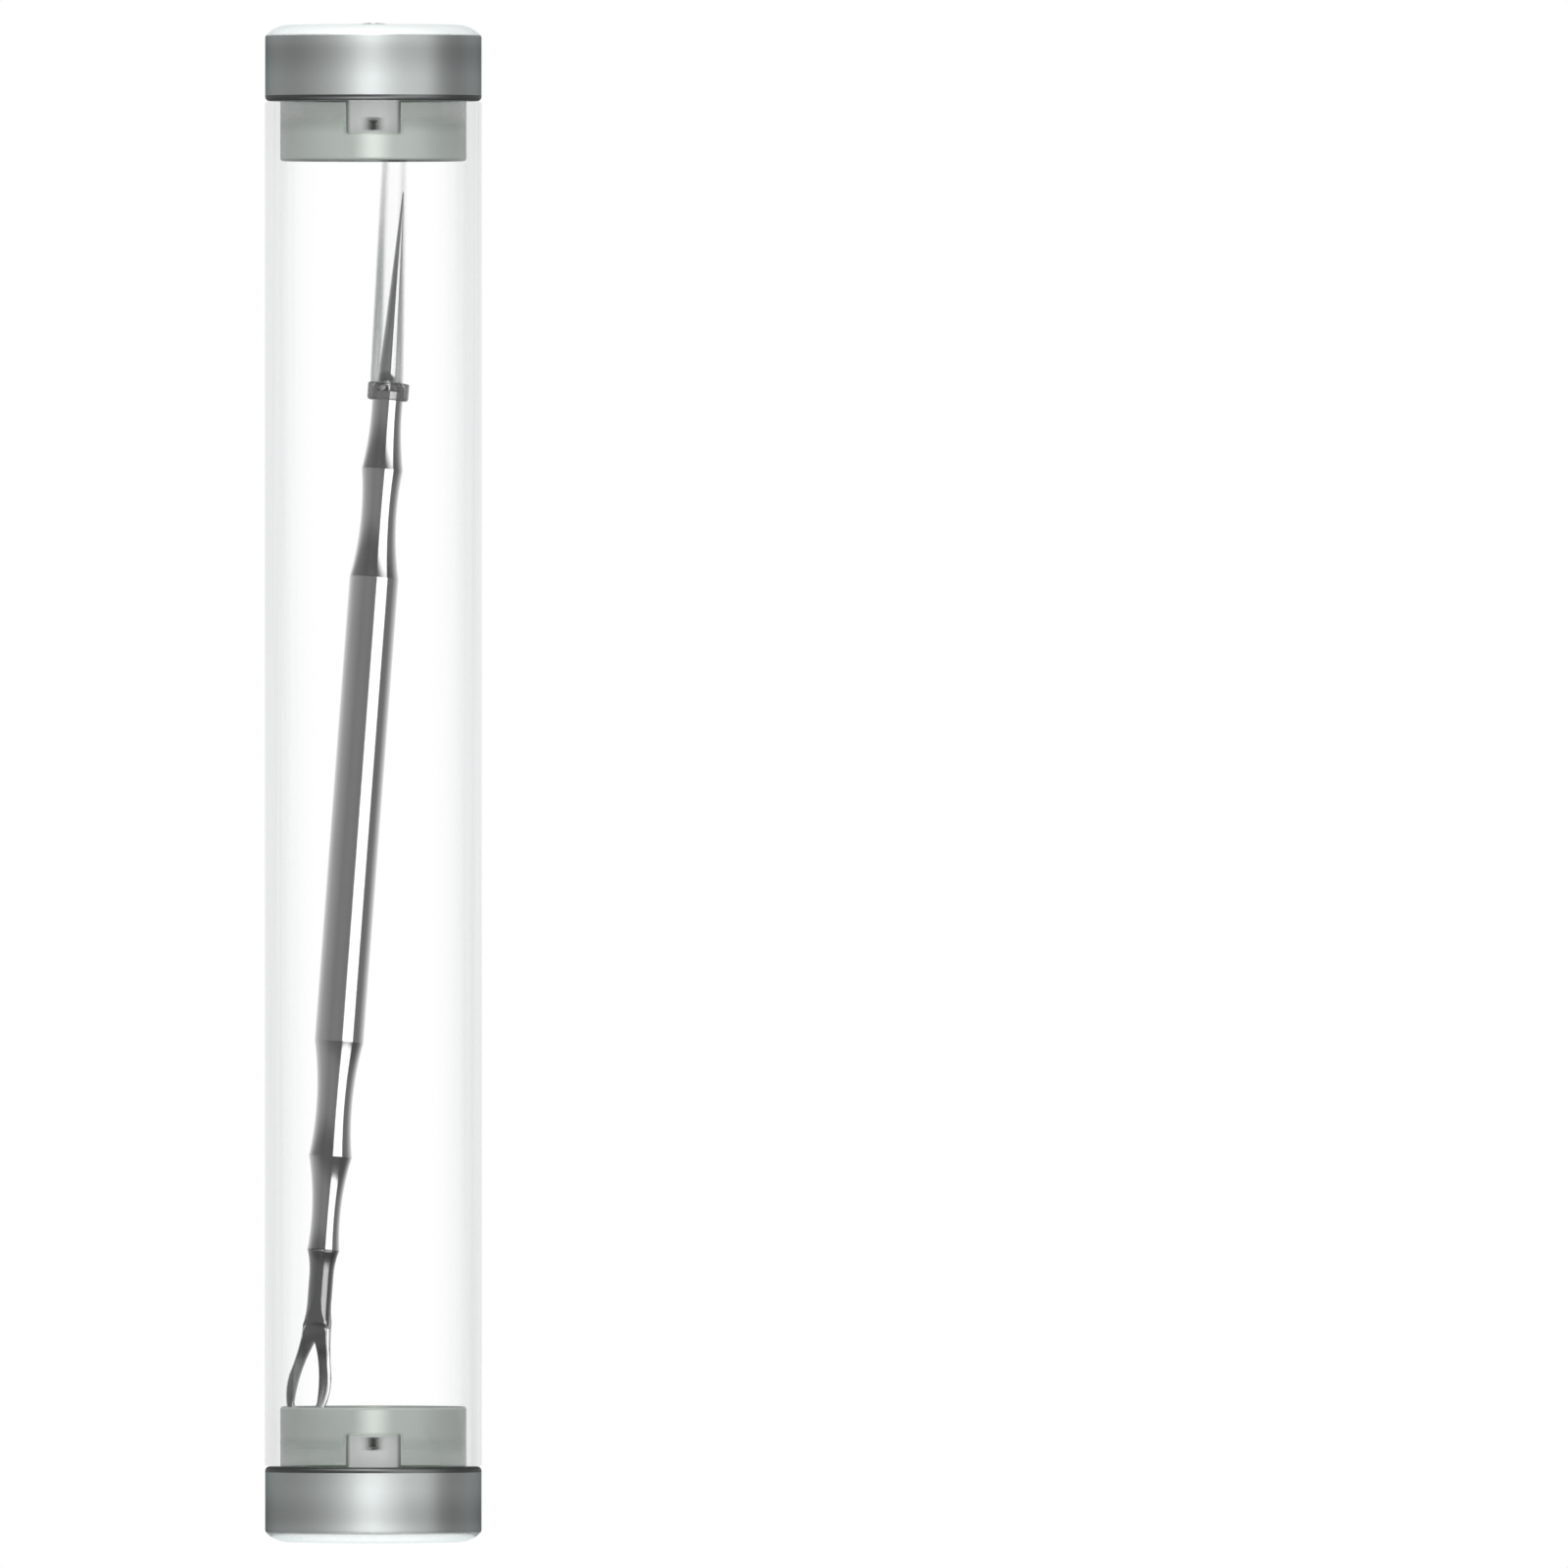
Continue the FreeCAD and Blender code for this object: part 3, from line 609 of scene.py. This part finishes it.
def clear_plastic(name, base, density, edge, scuff, shade_heights=None, across=None):
    """Clear plastic with faint drawn lines, whose density face-on and edge-on is given.

    It may carry painted shade: its grey is densest at the first of the given heights and of the given
    places along X, fades towards the second, and fades near its edge-on rim.
    """
    material, tree, shader = new_material(name)
    lines = along(tree, scuff, stretch=(1, 1, 0.02), detail=4.0)
    facing = seen_edge_on(tree)
    body = ranged(tree, facing, *edge, *density)
    body = times(tree, body, ranged(tree, lines, *DRAWN_LINES))
    # Painted shade: the grey is made denser low down and on one side.
    if shade_heights:
        parts = parts_of(tree, object_place(tree))
        body = times(tree, body, ranged(tree, facing, *EDGE_SHADE_FADE))
        body = times(tree, body, ranged(tree, parts["Z"], *shade_heights, 1.0, END_SHADE_SHARE))
        body = times(tree, body, ranged(tree, parts["X"], *across, 1.0, SIDE_SHADE_SHARE))
    put(tree, shader, Base_Color=(*base, 1), Roughness=ranged(tree, lines, *NOISE_SPAN, 0.05, 0.14),
        IOR=1.5, Alpha=body, Normal=bump(tree, lines, strength=0.05, distance=0.00001))
    return material


def disc_plastic():
    """Plain moulded plastic with a fine texture."""
    material, tree, shader = new_material("disc_plastic")
    base = bpy.context.scene.extractor_finish.disc
    speck = along(tree, scale=2500.0)
    put(tree, shader, Base_Color=mottled(tree, speck, base, darkest=0.9),
        Roughness=ranged(tree, speck, *NOISE_SPAN, 0.45, 0.6),
        Normal=bump(tree, speck, strength=0.2, distance=0.00001))
    return material


# Operators

class Build:
    """Runs an operator's own build, and knows all such operators."""

    def execute(self, context):
        self.build(context.scene)
        return {"FINISHED"}


class EXTRACTOR_OT_tube(Build, Operator):
    """Makes the clear storage tube"""
    bl_idname = "extractor.tube"
    bl_label = "Storage tube"

    def build(self, scene):
        tube, foot = scene.extractor_tube, scene.extractor_cap.height
        head = foot + tube.run
        outer = tube.outer_dia / 2
        bore = outer - tube.wall
        outline = [(bore, foot, tube.edge_round / 2), (outer, foot, tube.edge_round),
                   (outer, head, tube.edge_round), (bore, head, tube.edge_round / 2)]
        base = scene.extractor_finish.tube
        materials = [clear_plastic("clear_tube_plastic", base, density=(0.002, 0.20),
                                   edge=(0.12, 0.62), scuff=900.0),
                     clear_plastic("clear_bore_plastic", base, density=(0.001, 0.03),
                                   edge=(0.3, 0.9), scuff=900.0)]
        mesh = turned(eased(outline), tube.steps)
        paint(mesh, 1, lambda radius, height: radius < outer - tube.wall / 2)
        make_piece("clear_tube", mesh, materials, "case", "case_tube")


class EXTRACTOR_OT_cups(Build, Operator):
    """Makes the metal cup of each cap"""
    bl_idname = "extractor.cups"
    bl_label = "Metal cups"
    SOFT_PARTS = 12

    def build(self, scene):
        cap, tube = scene.extractor_cap, scene.extractor_tube
        outer = tube.outer_dia / 2 - cap.inset
        bore = outer - cap.wall
        hole = cap.head_dia / 2
        slant = math.hypot(cap.edge_width, cap.edge_height)
        flat_end = (outer - cap.edge_width, 0)
        middle = (outer - cap.edge_width + slant / 2,
                  slant * (slant - cap.edge_width) / (2 * cap.edge_height))
        shoulder = (outer, cap.edge_height)
        soft = cap.top / self.SOFT_PARTS
        outline = [(hole, 0, soft), flat_end] + bow(flat_end, middle, shoulder, steps=20)[:-1]
        outline += [shoulder + (cap.lip_round,), (outer, cap.height, cap.lip_round),
                    (bore, cap.height, soft), (bore, cap.top, soft),
                    (hole - cap.top + cap.head_seat, cap.top), (hole, cap.head_seat)]
        base = scene.extractor_finish.cap
        materials = [cap_metal("satin_cap_metal", base, low=0.50, edge=(0.20, 0.23, 0.24),
                               anisotropy=0.9, metallic=0.95, band_shade=0.78),
                     cap_metal("bright_cap_metal", toned(base, 1.08), low=0.20,
                               edge=(0.40, 0.47, 0.50), metallic=0.45),
                     cap_metal("painted_shade_cap_lip", toned(base, 0.22), low=0.35, edge=(0.5, 0.5, 0.5))]
        for side in SIDES:
            mesh = turned(eased(outline), tube.steps)
            paint(mesh, 1, lambda radius, height: height < cap.edge_height - soft)
            # Painted shade: the lip's round gets a nearly black copy of the cap metal, for the dark
            # line at the cup's lip.
            paint(mesh, 2, lambda radius, height: height > cap.height - cap.lip_round * 1.3)
            mesh.transform(cap_frame(side))
            make_piece(f"{side}_cup", mesh, materials, f"{side}_cap", f"{side}_cap_shell",
                       crease_degrees=20)


class EXTRACTOR_OT_plugs(Build, Operator):
    """Makes the milky plug of each cap"""
    bl_idname = "extractor.plugs"
    bl_label = "Plugs"

    def build(self, scene):
        cap, tube = scene.extractor_cap, scene.extractor_tube
        wide = tube.outer_dia / 2 - cap.inset - cap.wall
        skirt = tube.outer_dia / 2 - tube.wall - cap.plug_fit
        pocket = skirt - cap.plug_wall
        dish = skirt - cap.dish_wall
        screw = cap.shank_dia / 2
        back = cap.height - cap.flange
        end = cap.height + cap.plug_reach
        floor = end - cap.dish_depth
        pocket_end = floor - cap.plug_web
        pilot_end = cap.height + cap.screw_reach + cap.pilot_spare
        soft = cap.plug_round / 2
        boss = cap.boss_dia / 2
        outline = [(screw, back), (boss, back), (boss, pocket_end, soft * 2),
                   (pocket, pocket_end, soft * 2), (pocket, back), (wide, back, soft),
                   (wide, cap.height, soft), (skirt, cap.height), (skirt, pocket_end),
                   (skirt, end, cap.plug_round), (dish, end, soft / 2), (dish, floor, soft * 2),
                   (0, floor), (0, pilot_end), (screw, pilot_end)]
        finish = scene.extractor_finish
        materials = [milky_plastic("milky_plug_plastic", finish.plug, COLUMN_FACING, HIGHLIGHT_TONE,
                                   column_alpha=0.95, edge=(0.6, 0.95), edge_shade_tone=0.85),
                     milky_plastic("milky_boss_plastic", finish.boss, column_facing=0.15,
                                   highlight_tone=1.0, column_alpha=0.03, edge=(0.4, 0.75),
                                   edge_shade_tone=0.05, painted_glow=0.22,
                                   window=(end - cap.window_start, end - cap.window_end)),
                     tinted_plastic("tinted_plug_plastic", finish.plug_tint, finish.plug,
                                    clear=(0.1, 0.5), start=cap.height + SOFT_EDGE, end=pocket_end),
                     clear_plastic("clear_pocket_plastic", finish.boss, density=(0.01, 0.08),
                                   edge=(0.5, 0.95), scuff=400.0)]
        for side in SIDES:
            mesh = turned(eased(outline), tube.steps)
            paint(mesh, 1, lambda radius, height: radius < boss + soft and height < pocket_end - soft)
            paint(mesh, 2, lambda radius, height: (radius > skirt - soft
                                                   and cap.height < height < pocket_end))
            paint(mesh, 3, lambda radius, height: (abs(radius - pocket) < soft or radius < screw + soft)
                  and height < pocket_end)
            mesh.transform(cap_frame(side))
            make_piece(f"{side}_plug", mesh, materials, f"{side}_cap", f"{side}_cap_plug")


class EXTRACTOR_OT_screws(Build, Operator):
    """Makes the screw of each cap"""
    bl_idname = "extractor.screws"
    bl_label = "Screws"
    SHANK_STEPS = 48
    THREAD_STEPS = 32

    def build(self, scene):
        cap, finish = scene.extractor_cap, scene.extractor_finish
        materials = [steel("plated_screw_steel", finish.screw, low=0.22, high=0.4, scale=4000.0,
                           metallic=0.2),
                     steel("painted_shade_screw_steel", toned(finish.screw, 0.04), low=0.3, high=0.5,
                           scale=4000.0),
                     steel("screw_head_steel", finish.head, low=0.22, high=0.4, scale=4000.0)]
        crest = cap.shank_dia / 2
        core = crest - cap.thread_depth
        root = core - cap.thread_depth / 2
        neck = cap.head_seat + cap.head_dia / 2 - crest
        end = cap.height + cap.screw_reach
        point = end - cap.screw_point
        turns = int((point - neck) / cap.pitch)
        for side in SIDES:
            mesh, place = taken_over(f"{side}_cap_screw"), cap_frame(side)
            mesh.transform(place.inverted())
            bmesh.ops.bisect_plane(mesh, geom=mesh.verts[:] + mesh.edges[:] + mesh.faces[:], dist=MERGE,
                                   plane_co=(0, 0, neck), plane_no=UP, clear_outer=True)
            bmesh.ops.holes_fill(mesh, edges=[edge for edge in mesh.edges if edge.is_boundary])
            edges = sharp_edges(mesh, degrees=40)
            bevel(mesh, edges, cap.head_round, segments=2, clamp_overlap=True)
            close_up(mesh)
            foot = neck - cap.pitch
            join(mesh, turned([(0, foot), (core, foot), (core, point), (0, end)], self.SHANK_STEPS))
            thread = bmesh.new()
            ridge = [thread.verts.new((radius, 0, neck + part * cap.pitch))
                     for radius, part in ((root, -0.5), (crest, 0), (root, 0.5))]
            start = thread.faces.new(ridge)
            bmesh.ops.spin(thread, geom=ridge + start.edges[:] + [start], cent=(0, 0, 0), axis=UP,
                           dvec=(0, 0, cap.pitch / self.THREAD_STEPS), angle=FULL_TURN * turns,
                           steps=self.THREAD_STEPS * turns, use_merge=False)
            close_up(thread)
            join(mesh, thread)
            # Painted shade: the screw's point is coloured nearly black, for the dark spot at the end of
            # its hole.
            paint(mesh, 1, lambda radius, height: height > point - cap.pitch / 3)
            paint(mesh, 2, lambda radius, height: height < neck)
            mesh.transform(place)
            make_piece(f"{side}_screw", mesh, materials, f"{side}_cap", f"{side}_cap_screw")


class EXTRACTOR_OT_discs(Build, Operator):
    """Gives the disc in each cap its plastic"""
    bl_idname = "extractor.discs"
    bl_label = "Discs"

    def build(self, scene):
        material = disc_plastic()
        for side in SIDES:
            disc = frame["nodes"][f"{side}_cap_insert"]
            disc.data.materials.clear()
            disc.data.materials.append(material)


def waisted(start, waist_dia, waist_at, end, steps=40):
    """Gives the arc from one radius and height to the next, or its end only if it has no waist."""
    waist = (waist_dia / 2, start[1] + waist_at * (end[1] - start[1]))
    return bow(start, waist, end, steps) if waist_at else [end]


class EXTRACTOR_OT_handle(Build, Operator):
    """Makes the turned handle"""
    bl_idname = "extractor.handle"
    bl_label = "Handle"

    def build(self, scene):
        size = scene.extractor_handle
        height = size.start
        outline = [(0, height), (size.loop_end_dia / 2, height)]
        ends = (size.loop_mid_dia, size.barrel_dia, size.barrel_dia, size.needle_mid_dia,
                size.needle_end_dia)
        for part, end_dia in zip(HANDLE_PARTS, ends):
            height += getattr(size, part)
            outline += waisted(outline[-1], getattr(size, part + "_waist", end_dia),
                               getattr(size, part + "_at", 0), (end_dia / 2, height))
        outline.append((0, height))
        mesh = turned(outline, size.steps)
        mesh.transform(tool_frame())
        base = scene.extractor_finish.steel
        material = steel("turned_steel", base, low=0.07, high=0.16, scale=7000.0)
        make_piece("steel_handle", mesh, [material], "tool", "handle",
                   crease_degrees=7)


class EXTRACTOR_OT_needle(Build, Operator):
    """Makes the polished needle"""
    bl_idname = "extractor.needle"
    bl_label = "Needle"

    def build(self, scene):
        size, grip = scene.extractor_needle, scene.extractor_handle
        foot = handle_end()
        tip = foot + size.run
        round_rad = size.tip_dia / 2
        wide = grip.needle_end_dia / 2
        outline = [(0, foot), (wide, foot)]
        outline += waisted(outline[-1], size.flare_waist, size.flare_at,
                           (size.root_dia / 2, foot + size.flare), steps=24)
        outline.append((round_rad, tip - round_rad))
        slope = math.sqrt(0.5)
        middle = (round_rad * slope, tip - round_rad * (1 - slope))
        outline += bow(outline[-1], middle, (0, tip), steps=6)
        mesh = turned(outline, size.steps)
        mesh.transform(tool_frame())
        base = scene.extractor_finish.steel
        material = steel("polished_steel", base, low=0.03, high=0.08, scale=5000.0, stretch=(1, 1, 0.1))
        make_piece("steel_needle", mesh, [material], "tool", "needle")


class EXTRACTOR_OT_loop(Build, Operator):
    """Makes the bent, ground loop with its pointed eye"""
    bl_idname = "extractor.loop"
    bl_label = "Loop"
    FLAT_DEGREES = 0.5
    SIDE_DEGREES = 50
    EDGE_DEGREES = 35
    FRONT = -0.7
    FLAT_SLANT = 0.4

    def is_outer_front(self, edge):
        """Tells whether an edge lies between the loop's front and the outer side of a limb."""
        faces = edge.link_faces
        return min(face.normal.y for face in faces) < self.FRONT and all(
            face.normal.x * vert.co.x > 0 or abs(face.normal.x) < self.FLAT_SLANT
            for face in faces for vert in edge.verts)

    def build(self, scene):
        mesh = taken_over("loop_head")
        bmesh.ops.dissolve_limit(mesh, angle_limit=math.radians(self.FLAT_DEGREES), verts=mesh.verts,
                                 edges=mesh.edges)
        place = tool_frame()
        mesh.transform(place.inverted())
        size = scene.extractor_loop
        sides = [edge for edge in sharp_edges(mesh, self.SIDE_DEGREES) if self.is_outer_front(edge)]
        # The leaf's outer front edges get the brighter handle steel: a polished finish, and also a
        # painted highlight for the white lines along them.
        for face in bevel(mesh, sides, size.side_round, segments=5, clamp_overlap=False):
            if face.calc_center_median().z < size.leaf_end:
                face.material_index = 1
        edges = sharp_edges(mesh, self.EDGE_DEGREES)
        bevel(mesh, edges, size.edge_round, segments=3, clamp_overlap=True)
        close_up(mesh)
        mesh.transform(place)
        finish = scene.extractor_finish
        lengthwise = (1, 1, 0.15)
        materials = [steel("ground_steel", finish.ground, low=0.14, high=0.28, scale=6000.0,
                           stretch=lengthwise),
                     steel("polished_highlight_edge_steel", finish.steel, low=0.1, high=0.2, scale=6000.0,
                           stretch=lengthwise, metallic=0.7)]
        make_piece("steel_loop", mesh, materials, "tool", "loop_head")


class EXTRACTOR_OT_sleeve(Build, Operator):
    """Makes the clear sleeve with its bead"""
    bl_idname = "extractor.sleeve"
    bl_label = "Sleeve"

    def build(self, scene):
        size, grip, needle = scene.extractor_sleeve, scene.extractor_handle, scene.extractor_needle
        foot = handle_end() - size.overlap
        head = foot + size.bead
        reach = needle.run + size.overlap - size.bead + size.spare
        bore = grip.needle_end_dia / 2 + size.fit
        bead = size.bead_dia / 2
        root, end = size.root_dia / 2, size.end_dia / 2
        throat = size.throat_dia / 2
        cone_foot = head - size.throat - (bore - throat)
        soft = size.wall / 3
        outline = [(bore, foot, soft), (bead, foot, size.bead_round), (bead, head, size.head_round),
                   (root, head, soft), (end, head + reach, soft), (end - size.wall, head + reach, soft),
                   (root - size.wall, head, soft), (throat, head, soft),
                   (throat, head - size.throat, soft), (bore, cone_foot, soft)]
        mesh = turned(eased(outline), size.steps)
        paint(mesh, 1, lambda radius, height: height < head + soft / 2)
        inner, outer = throat + soft * 1.5, root + soft * 1.5
        stalk = [vert for vert in mesh.verts
                 if vert.co.z > head + soft * 3
                 or vert.co.z > head - soft / 2 and inner < math.hypot(vert.co.x, vert.co.y) < outer]
        lean = Matrix.Translation((-size.shift, 0, head)) @ Matrix.Rotation(-size.tilt, 4, "Y")
        bmesh.ops.transform(mesh, matrix=lean @ Matrix.Translation((0, 0, -head)), verts=stalk)
        mesh.transform(tool_frame())
        finish = scene.extractor_finish
        ends = [tool_frame() @ Vector((-size.shift, 0, height)) for height in (head, head + reach)]
        middle = (ends[0].x + ends[1].x) / 2
        # The sleeve's grey is painted shade, densest at the bead and on its left.
        materials = [clear_plastic("clear_sleeve_plastic", finish.sleeve, density=(0.04, 0.72),
                                   edge=(0.03, 0.28), scuff=2500.0, shade_heights=[end.z for end in ends],
                                   across=(middle - root * 0.6, middle + root * 0.8)),
                     clear_plastic("clear_bead_plastic", finish.bead, density=(0.18, 0.75),
                                   edge=(0.08, 0.5), scuff=2500.0)]
        make_piece("clear_sleeve", mesh, materials, "sleeve", "needle_sleeve")


# The stage

LEVEL_TONES = (
    (-180, 0.62), (-150, 0.50), (-128, 0.36), (-100, 0.24), (-76, 0.19), (-46, 0.135), (-20, 0.14),
    (6, 0.12), (70, 0.10), (100, 0.13), (125, 0.30), (150, 0.50), (180, 0.62),
)
HIGH_TONES = (
    (-180, 0.0), (-115, 0.08), (-92, 0.55), (-70, 0.85), (-40, 1.5), (-24, 2.6), (-8, 4.6), (0, 5.4),
    (8, 4.4), (18, 2.0), (30, 0.0), (66, 0.3), (85, 0.8), (100, 0.6), (120, 0.0), (180, 0.0),
)
GLOSS_LEVEL = 1.6
LEVEL_FADE = (0.12, 0.32)
HIGH_RISE = (0.52, 0.68)
FRONT_X, FRONT_Y = -0.15, -0.9
FRONT_SPAN = (0.3, 0.9)
GLOWING_FOOT_RADIUS = 0.0098
FLOOR_GLOW = 0.62
GLOSSY_FLOOR = (0.06, 0.06, 0.06)
PAINTED_RING_IN = (0.0104, 0.0140, 0.0, 0.8)
PAINTED_RING_OUT = (0.0145, 0.0200, 1.0, 0.0)
PAINTED_LEVEL_SHARE = 0.55
BOX_FADE = (0.84, 1.0, 1.08, 0.0)
CLIP = (0.1, 20)


def heading_ramp(tree, place, tones):
    """Gives the tone for a heading, of tones that run from -180 to 180 degrees."""
    ramp = tree.nodes.new("ShaderNodeValToRGB")
    put(tree, ramp, Fac=place)
    stops = ramp.color_ramp.elements
    for degrees, tone in tones[1:-1]:
        stops.new(degrees / 360 + 0.5)
    for stop, (degrees, tone) in zip(stops, tones):
        stop.color = (tone, tone, tone, 1)
    return ramp.outputs["Color"]


def heading(tree, parts):
    """Gives the place on a ramp for the heading of a direction's parts."""
    turn = turn_of(tree, parts["X"], times(tree, parts["Y"], -1.0))
    return plus(tree, over(tree, turn, FULL_TURN), 0.5)


def kinds_of_ray(tree):
    """Tells whether a ray is glossy, and whether it is the camera's, also through clear plastic."""
    rays = add(tree, "LightPath")
    return rays["Is Glossy Ray"], highest(tree, rays["Is Camera Ray"], rays["Is Transmission Ray"])


def light_world(scene):
    """White behind the object, soft fill, and grey walls with bright high panels for the gloss."""
    world = bpy.data.worlds.new("studio")
    scene.world = world
    world.use_nodes = True
    tree = world.node_tree
    way = parts_of(tree, add(tree, "TexCoord")["Generated"])
    place = heading(tree, way)
    height = size_of(tree, way["Z"])
    near = times(tree, heading_ramp(tree, place, LEVEL_TONES),
                 ranged(tree, height, *LEVEL_FADE, GLOSS_LEVEL, GLOSS_LEVEL / 2))
    far = heading_ramp(tree, place, HIGH_TONES)
    gloss = plus(tree, near, times(tree, ranged(tree, height, *HIGH_RISE), minus(tree, far, near)))
    glossy, seen = kinds_of_ray(tree)
    stage = scene.extractor_stage
    front = plus(tree, times(tree, way["Y"], FRONT_Y), times(tree, way["X"], FRONT_X))
    fill = ranged(tree, front, *FRONT_SPAN, stage.fill, stage.fill + stage.front_fill)
    level = plus(tree, times(tree, gloss, glossy), times(tree, minus(tree, 1.0, glossy), fill))
    put(tree, tree.nodes["Background"], Color=(1, 1, 1, 1),
        Strength=plus(tree, times(tree, level, minus(tree, 1.0, seen)), seen))


def pale_floor(tone):
    """Pale floor; to glossy rays it is dark and glows with painted reflections of the world's tones,
    most in a ring round the foot, and under the foot it glows white as painted light.
    """
    material, tree, shader = new_material("pale_floor")
    glossy, seen = kinds_of_ray(tree)
    speckled = mottled(tree, along(tree, scale=60.0), tone, darkest=0.98)
    parts = parts_of(tree, object_place(tree))
    radius = radius_of(tree, parts)
    # Painted light: the disc under the foot glows white for every ray, so the bottom cup mirrors white.
    shown = highest(tree, times(tree, seen, FLOOR_GLOW), is_less(tree, radius, GLOWING_FOOT_RADIUS))
    place = heading(tree, parts)
    # Painted reflection: to glossy rays the floor glows with the world's tones, and with the high
    # panels' in a ring round the foot.
    ring = times(tree, ranged(tree, radius, *PAINTED_RING_IN), ranged(tree, radius, *PAINTED_RING_OUT))
    painted_reflection = highest(tree, times(tree, heading_ramp(tree, place, HIGH_TONES), ring),
                       times(tree, heading_ramp(tree, place, LEVEL_TONES), PAINTED_LEVEL_SHARE))
    put(tree, shader, Base_Color=blend_tones(tree, glossy, speckled, GLOSSY_FLOOR), Roughness=0.9,
        Specular_IOR_Level=0.0, Emission_Color=(1, 1, 1, 1),
        Emission_Strength=highest(tree, shown, times(tree, painted_reflection, glossy)))
    return material


def add_lamp(name, spot, target, power, width, height):
    lamp = bpy.data.lights.new(name, "AREA")
    lamp.shape = "RECTANGLE"
    lamp.size, lamp.size_y = width, height
    lamp.energy = power
    holder = set_up(name, lamp)
    holder.location = spot
    holder.rotation_euler = (Vector(target) - holder.location).to_track_quat("-Z", "Y").to_euler()
    holder.visible_camera = False
    return holder


def soften_top(lamp):
    """Lets the upper end of a lamp's face fade out."""
    lamp.use_nodes = True
    tree = lamp.node_tree
    place = parts_of(tree, add(tree, "NewGeometry")["Parametric"])
    put(tree, tree.nodes["Emission"], Strength=ranged(tree, place["Y"], *BOX_FADE))


class EXTRACTOR_OT_stage(Build, Operator):
    """Sets up the floor, the lamps, the world and the camera"""
    bl_idname = "extractor.stage"
    bl_label = "Stage"
    FLOOR_STEPS = 128

    def build(self, scene):
        stage = scene.extractor_stage
        mesh = bmesh.new()
        bmesh.ops.create_circle(mesh, cap_ends=True, radius=stage.floor_radius,
                                segments=self.FLOOR_STEPS)
        floor = set_up("floor", finished("floor", mesh))
        floor.data.materials.append(pale_floor(stage.floor_tone))

        middle = (0, 0, CAD_BOX[1][2] / 2)
        for name, spot, power in (("high_front_lamp", stage.key_place, stage.key_power),
                                  ("level_back_lamp", stage.back_place, stage.back_power)):
            lamp = add_lamp(name, spot, middle, power, stage.lamp_width, stage.lamp_height)
            lamp.visible_glossy = False
        way = Vector((math.sin(stage.box_heading), -math.cos(stage.box_heading), 0))
        level = Vector((0, 0, stage.box_height / 2 - stage.box_sink))
        box = add_lamp("light_box", way * stage.box_distance + level, level, stage.box_power,
                       stage.box_width, stage.box_height)
        soften_top(box.data)
        light_world(scene)

        camera = bpy.data.cameras.new("camera")
        camera.lens = stage.lens
        camera.clip_start, camera.clip_end = CLIP
        holder = set_up("camera", camera)
        holder.location = stage.eye
        holder.rotation_euler = (math.pi / 2, 0, 0)
        scene.camera = holder
        scene.view_settings.view_transform = "Standard"


OPERATORS = Build.__subclasses__()


class EXTRACTOR_PT_panel(Panel):
    """Lists the sizes and the operators"""
    bl_idname = "EXTRACTOR_PT_panel"
    bl_label = "Extractor"
    bl_space_type = "VIEW_3D"
    bl_region_type = "UI"
    bl_category = "Extractor"

    def draw(self, context):
        for key, group in GROUPS.items():
            box = self.layout.box()
            for name in group.__annotations__:
                box.prop(getattr(context.scene, key), name)
        for operator in OPERATORS:
            self.layout.operator(operator.bl_idname)


def register():
    for kind in (*GROUPS.values(), *OPERATORS, EXTRACTOR_PT_panel):
        bpy.utils.register_class(kind)
    for key, group in GROUPS.items():
        setattr(Scene, key, PointerProperty(type=group))


def unregister():
    for key in GROUPS:
        delattr(Scene, key)
    for kind in reversed((*GROUPS.values(), *OPERATORS, EXTRACTOR_PT_panel)):
        bpy.utils.unregister_class(kind)


def main():
    register()
    for operator in OPERATORS:
        family, name = operator.bl_idname.split(".")
        getattr(getattr(bpy.ops, family), name)()


if __name__ == "__main__":
    main()
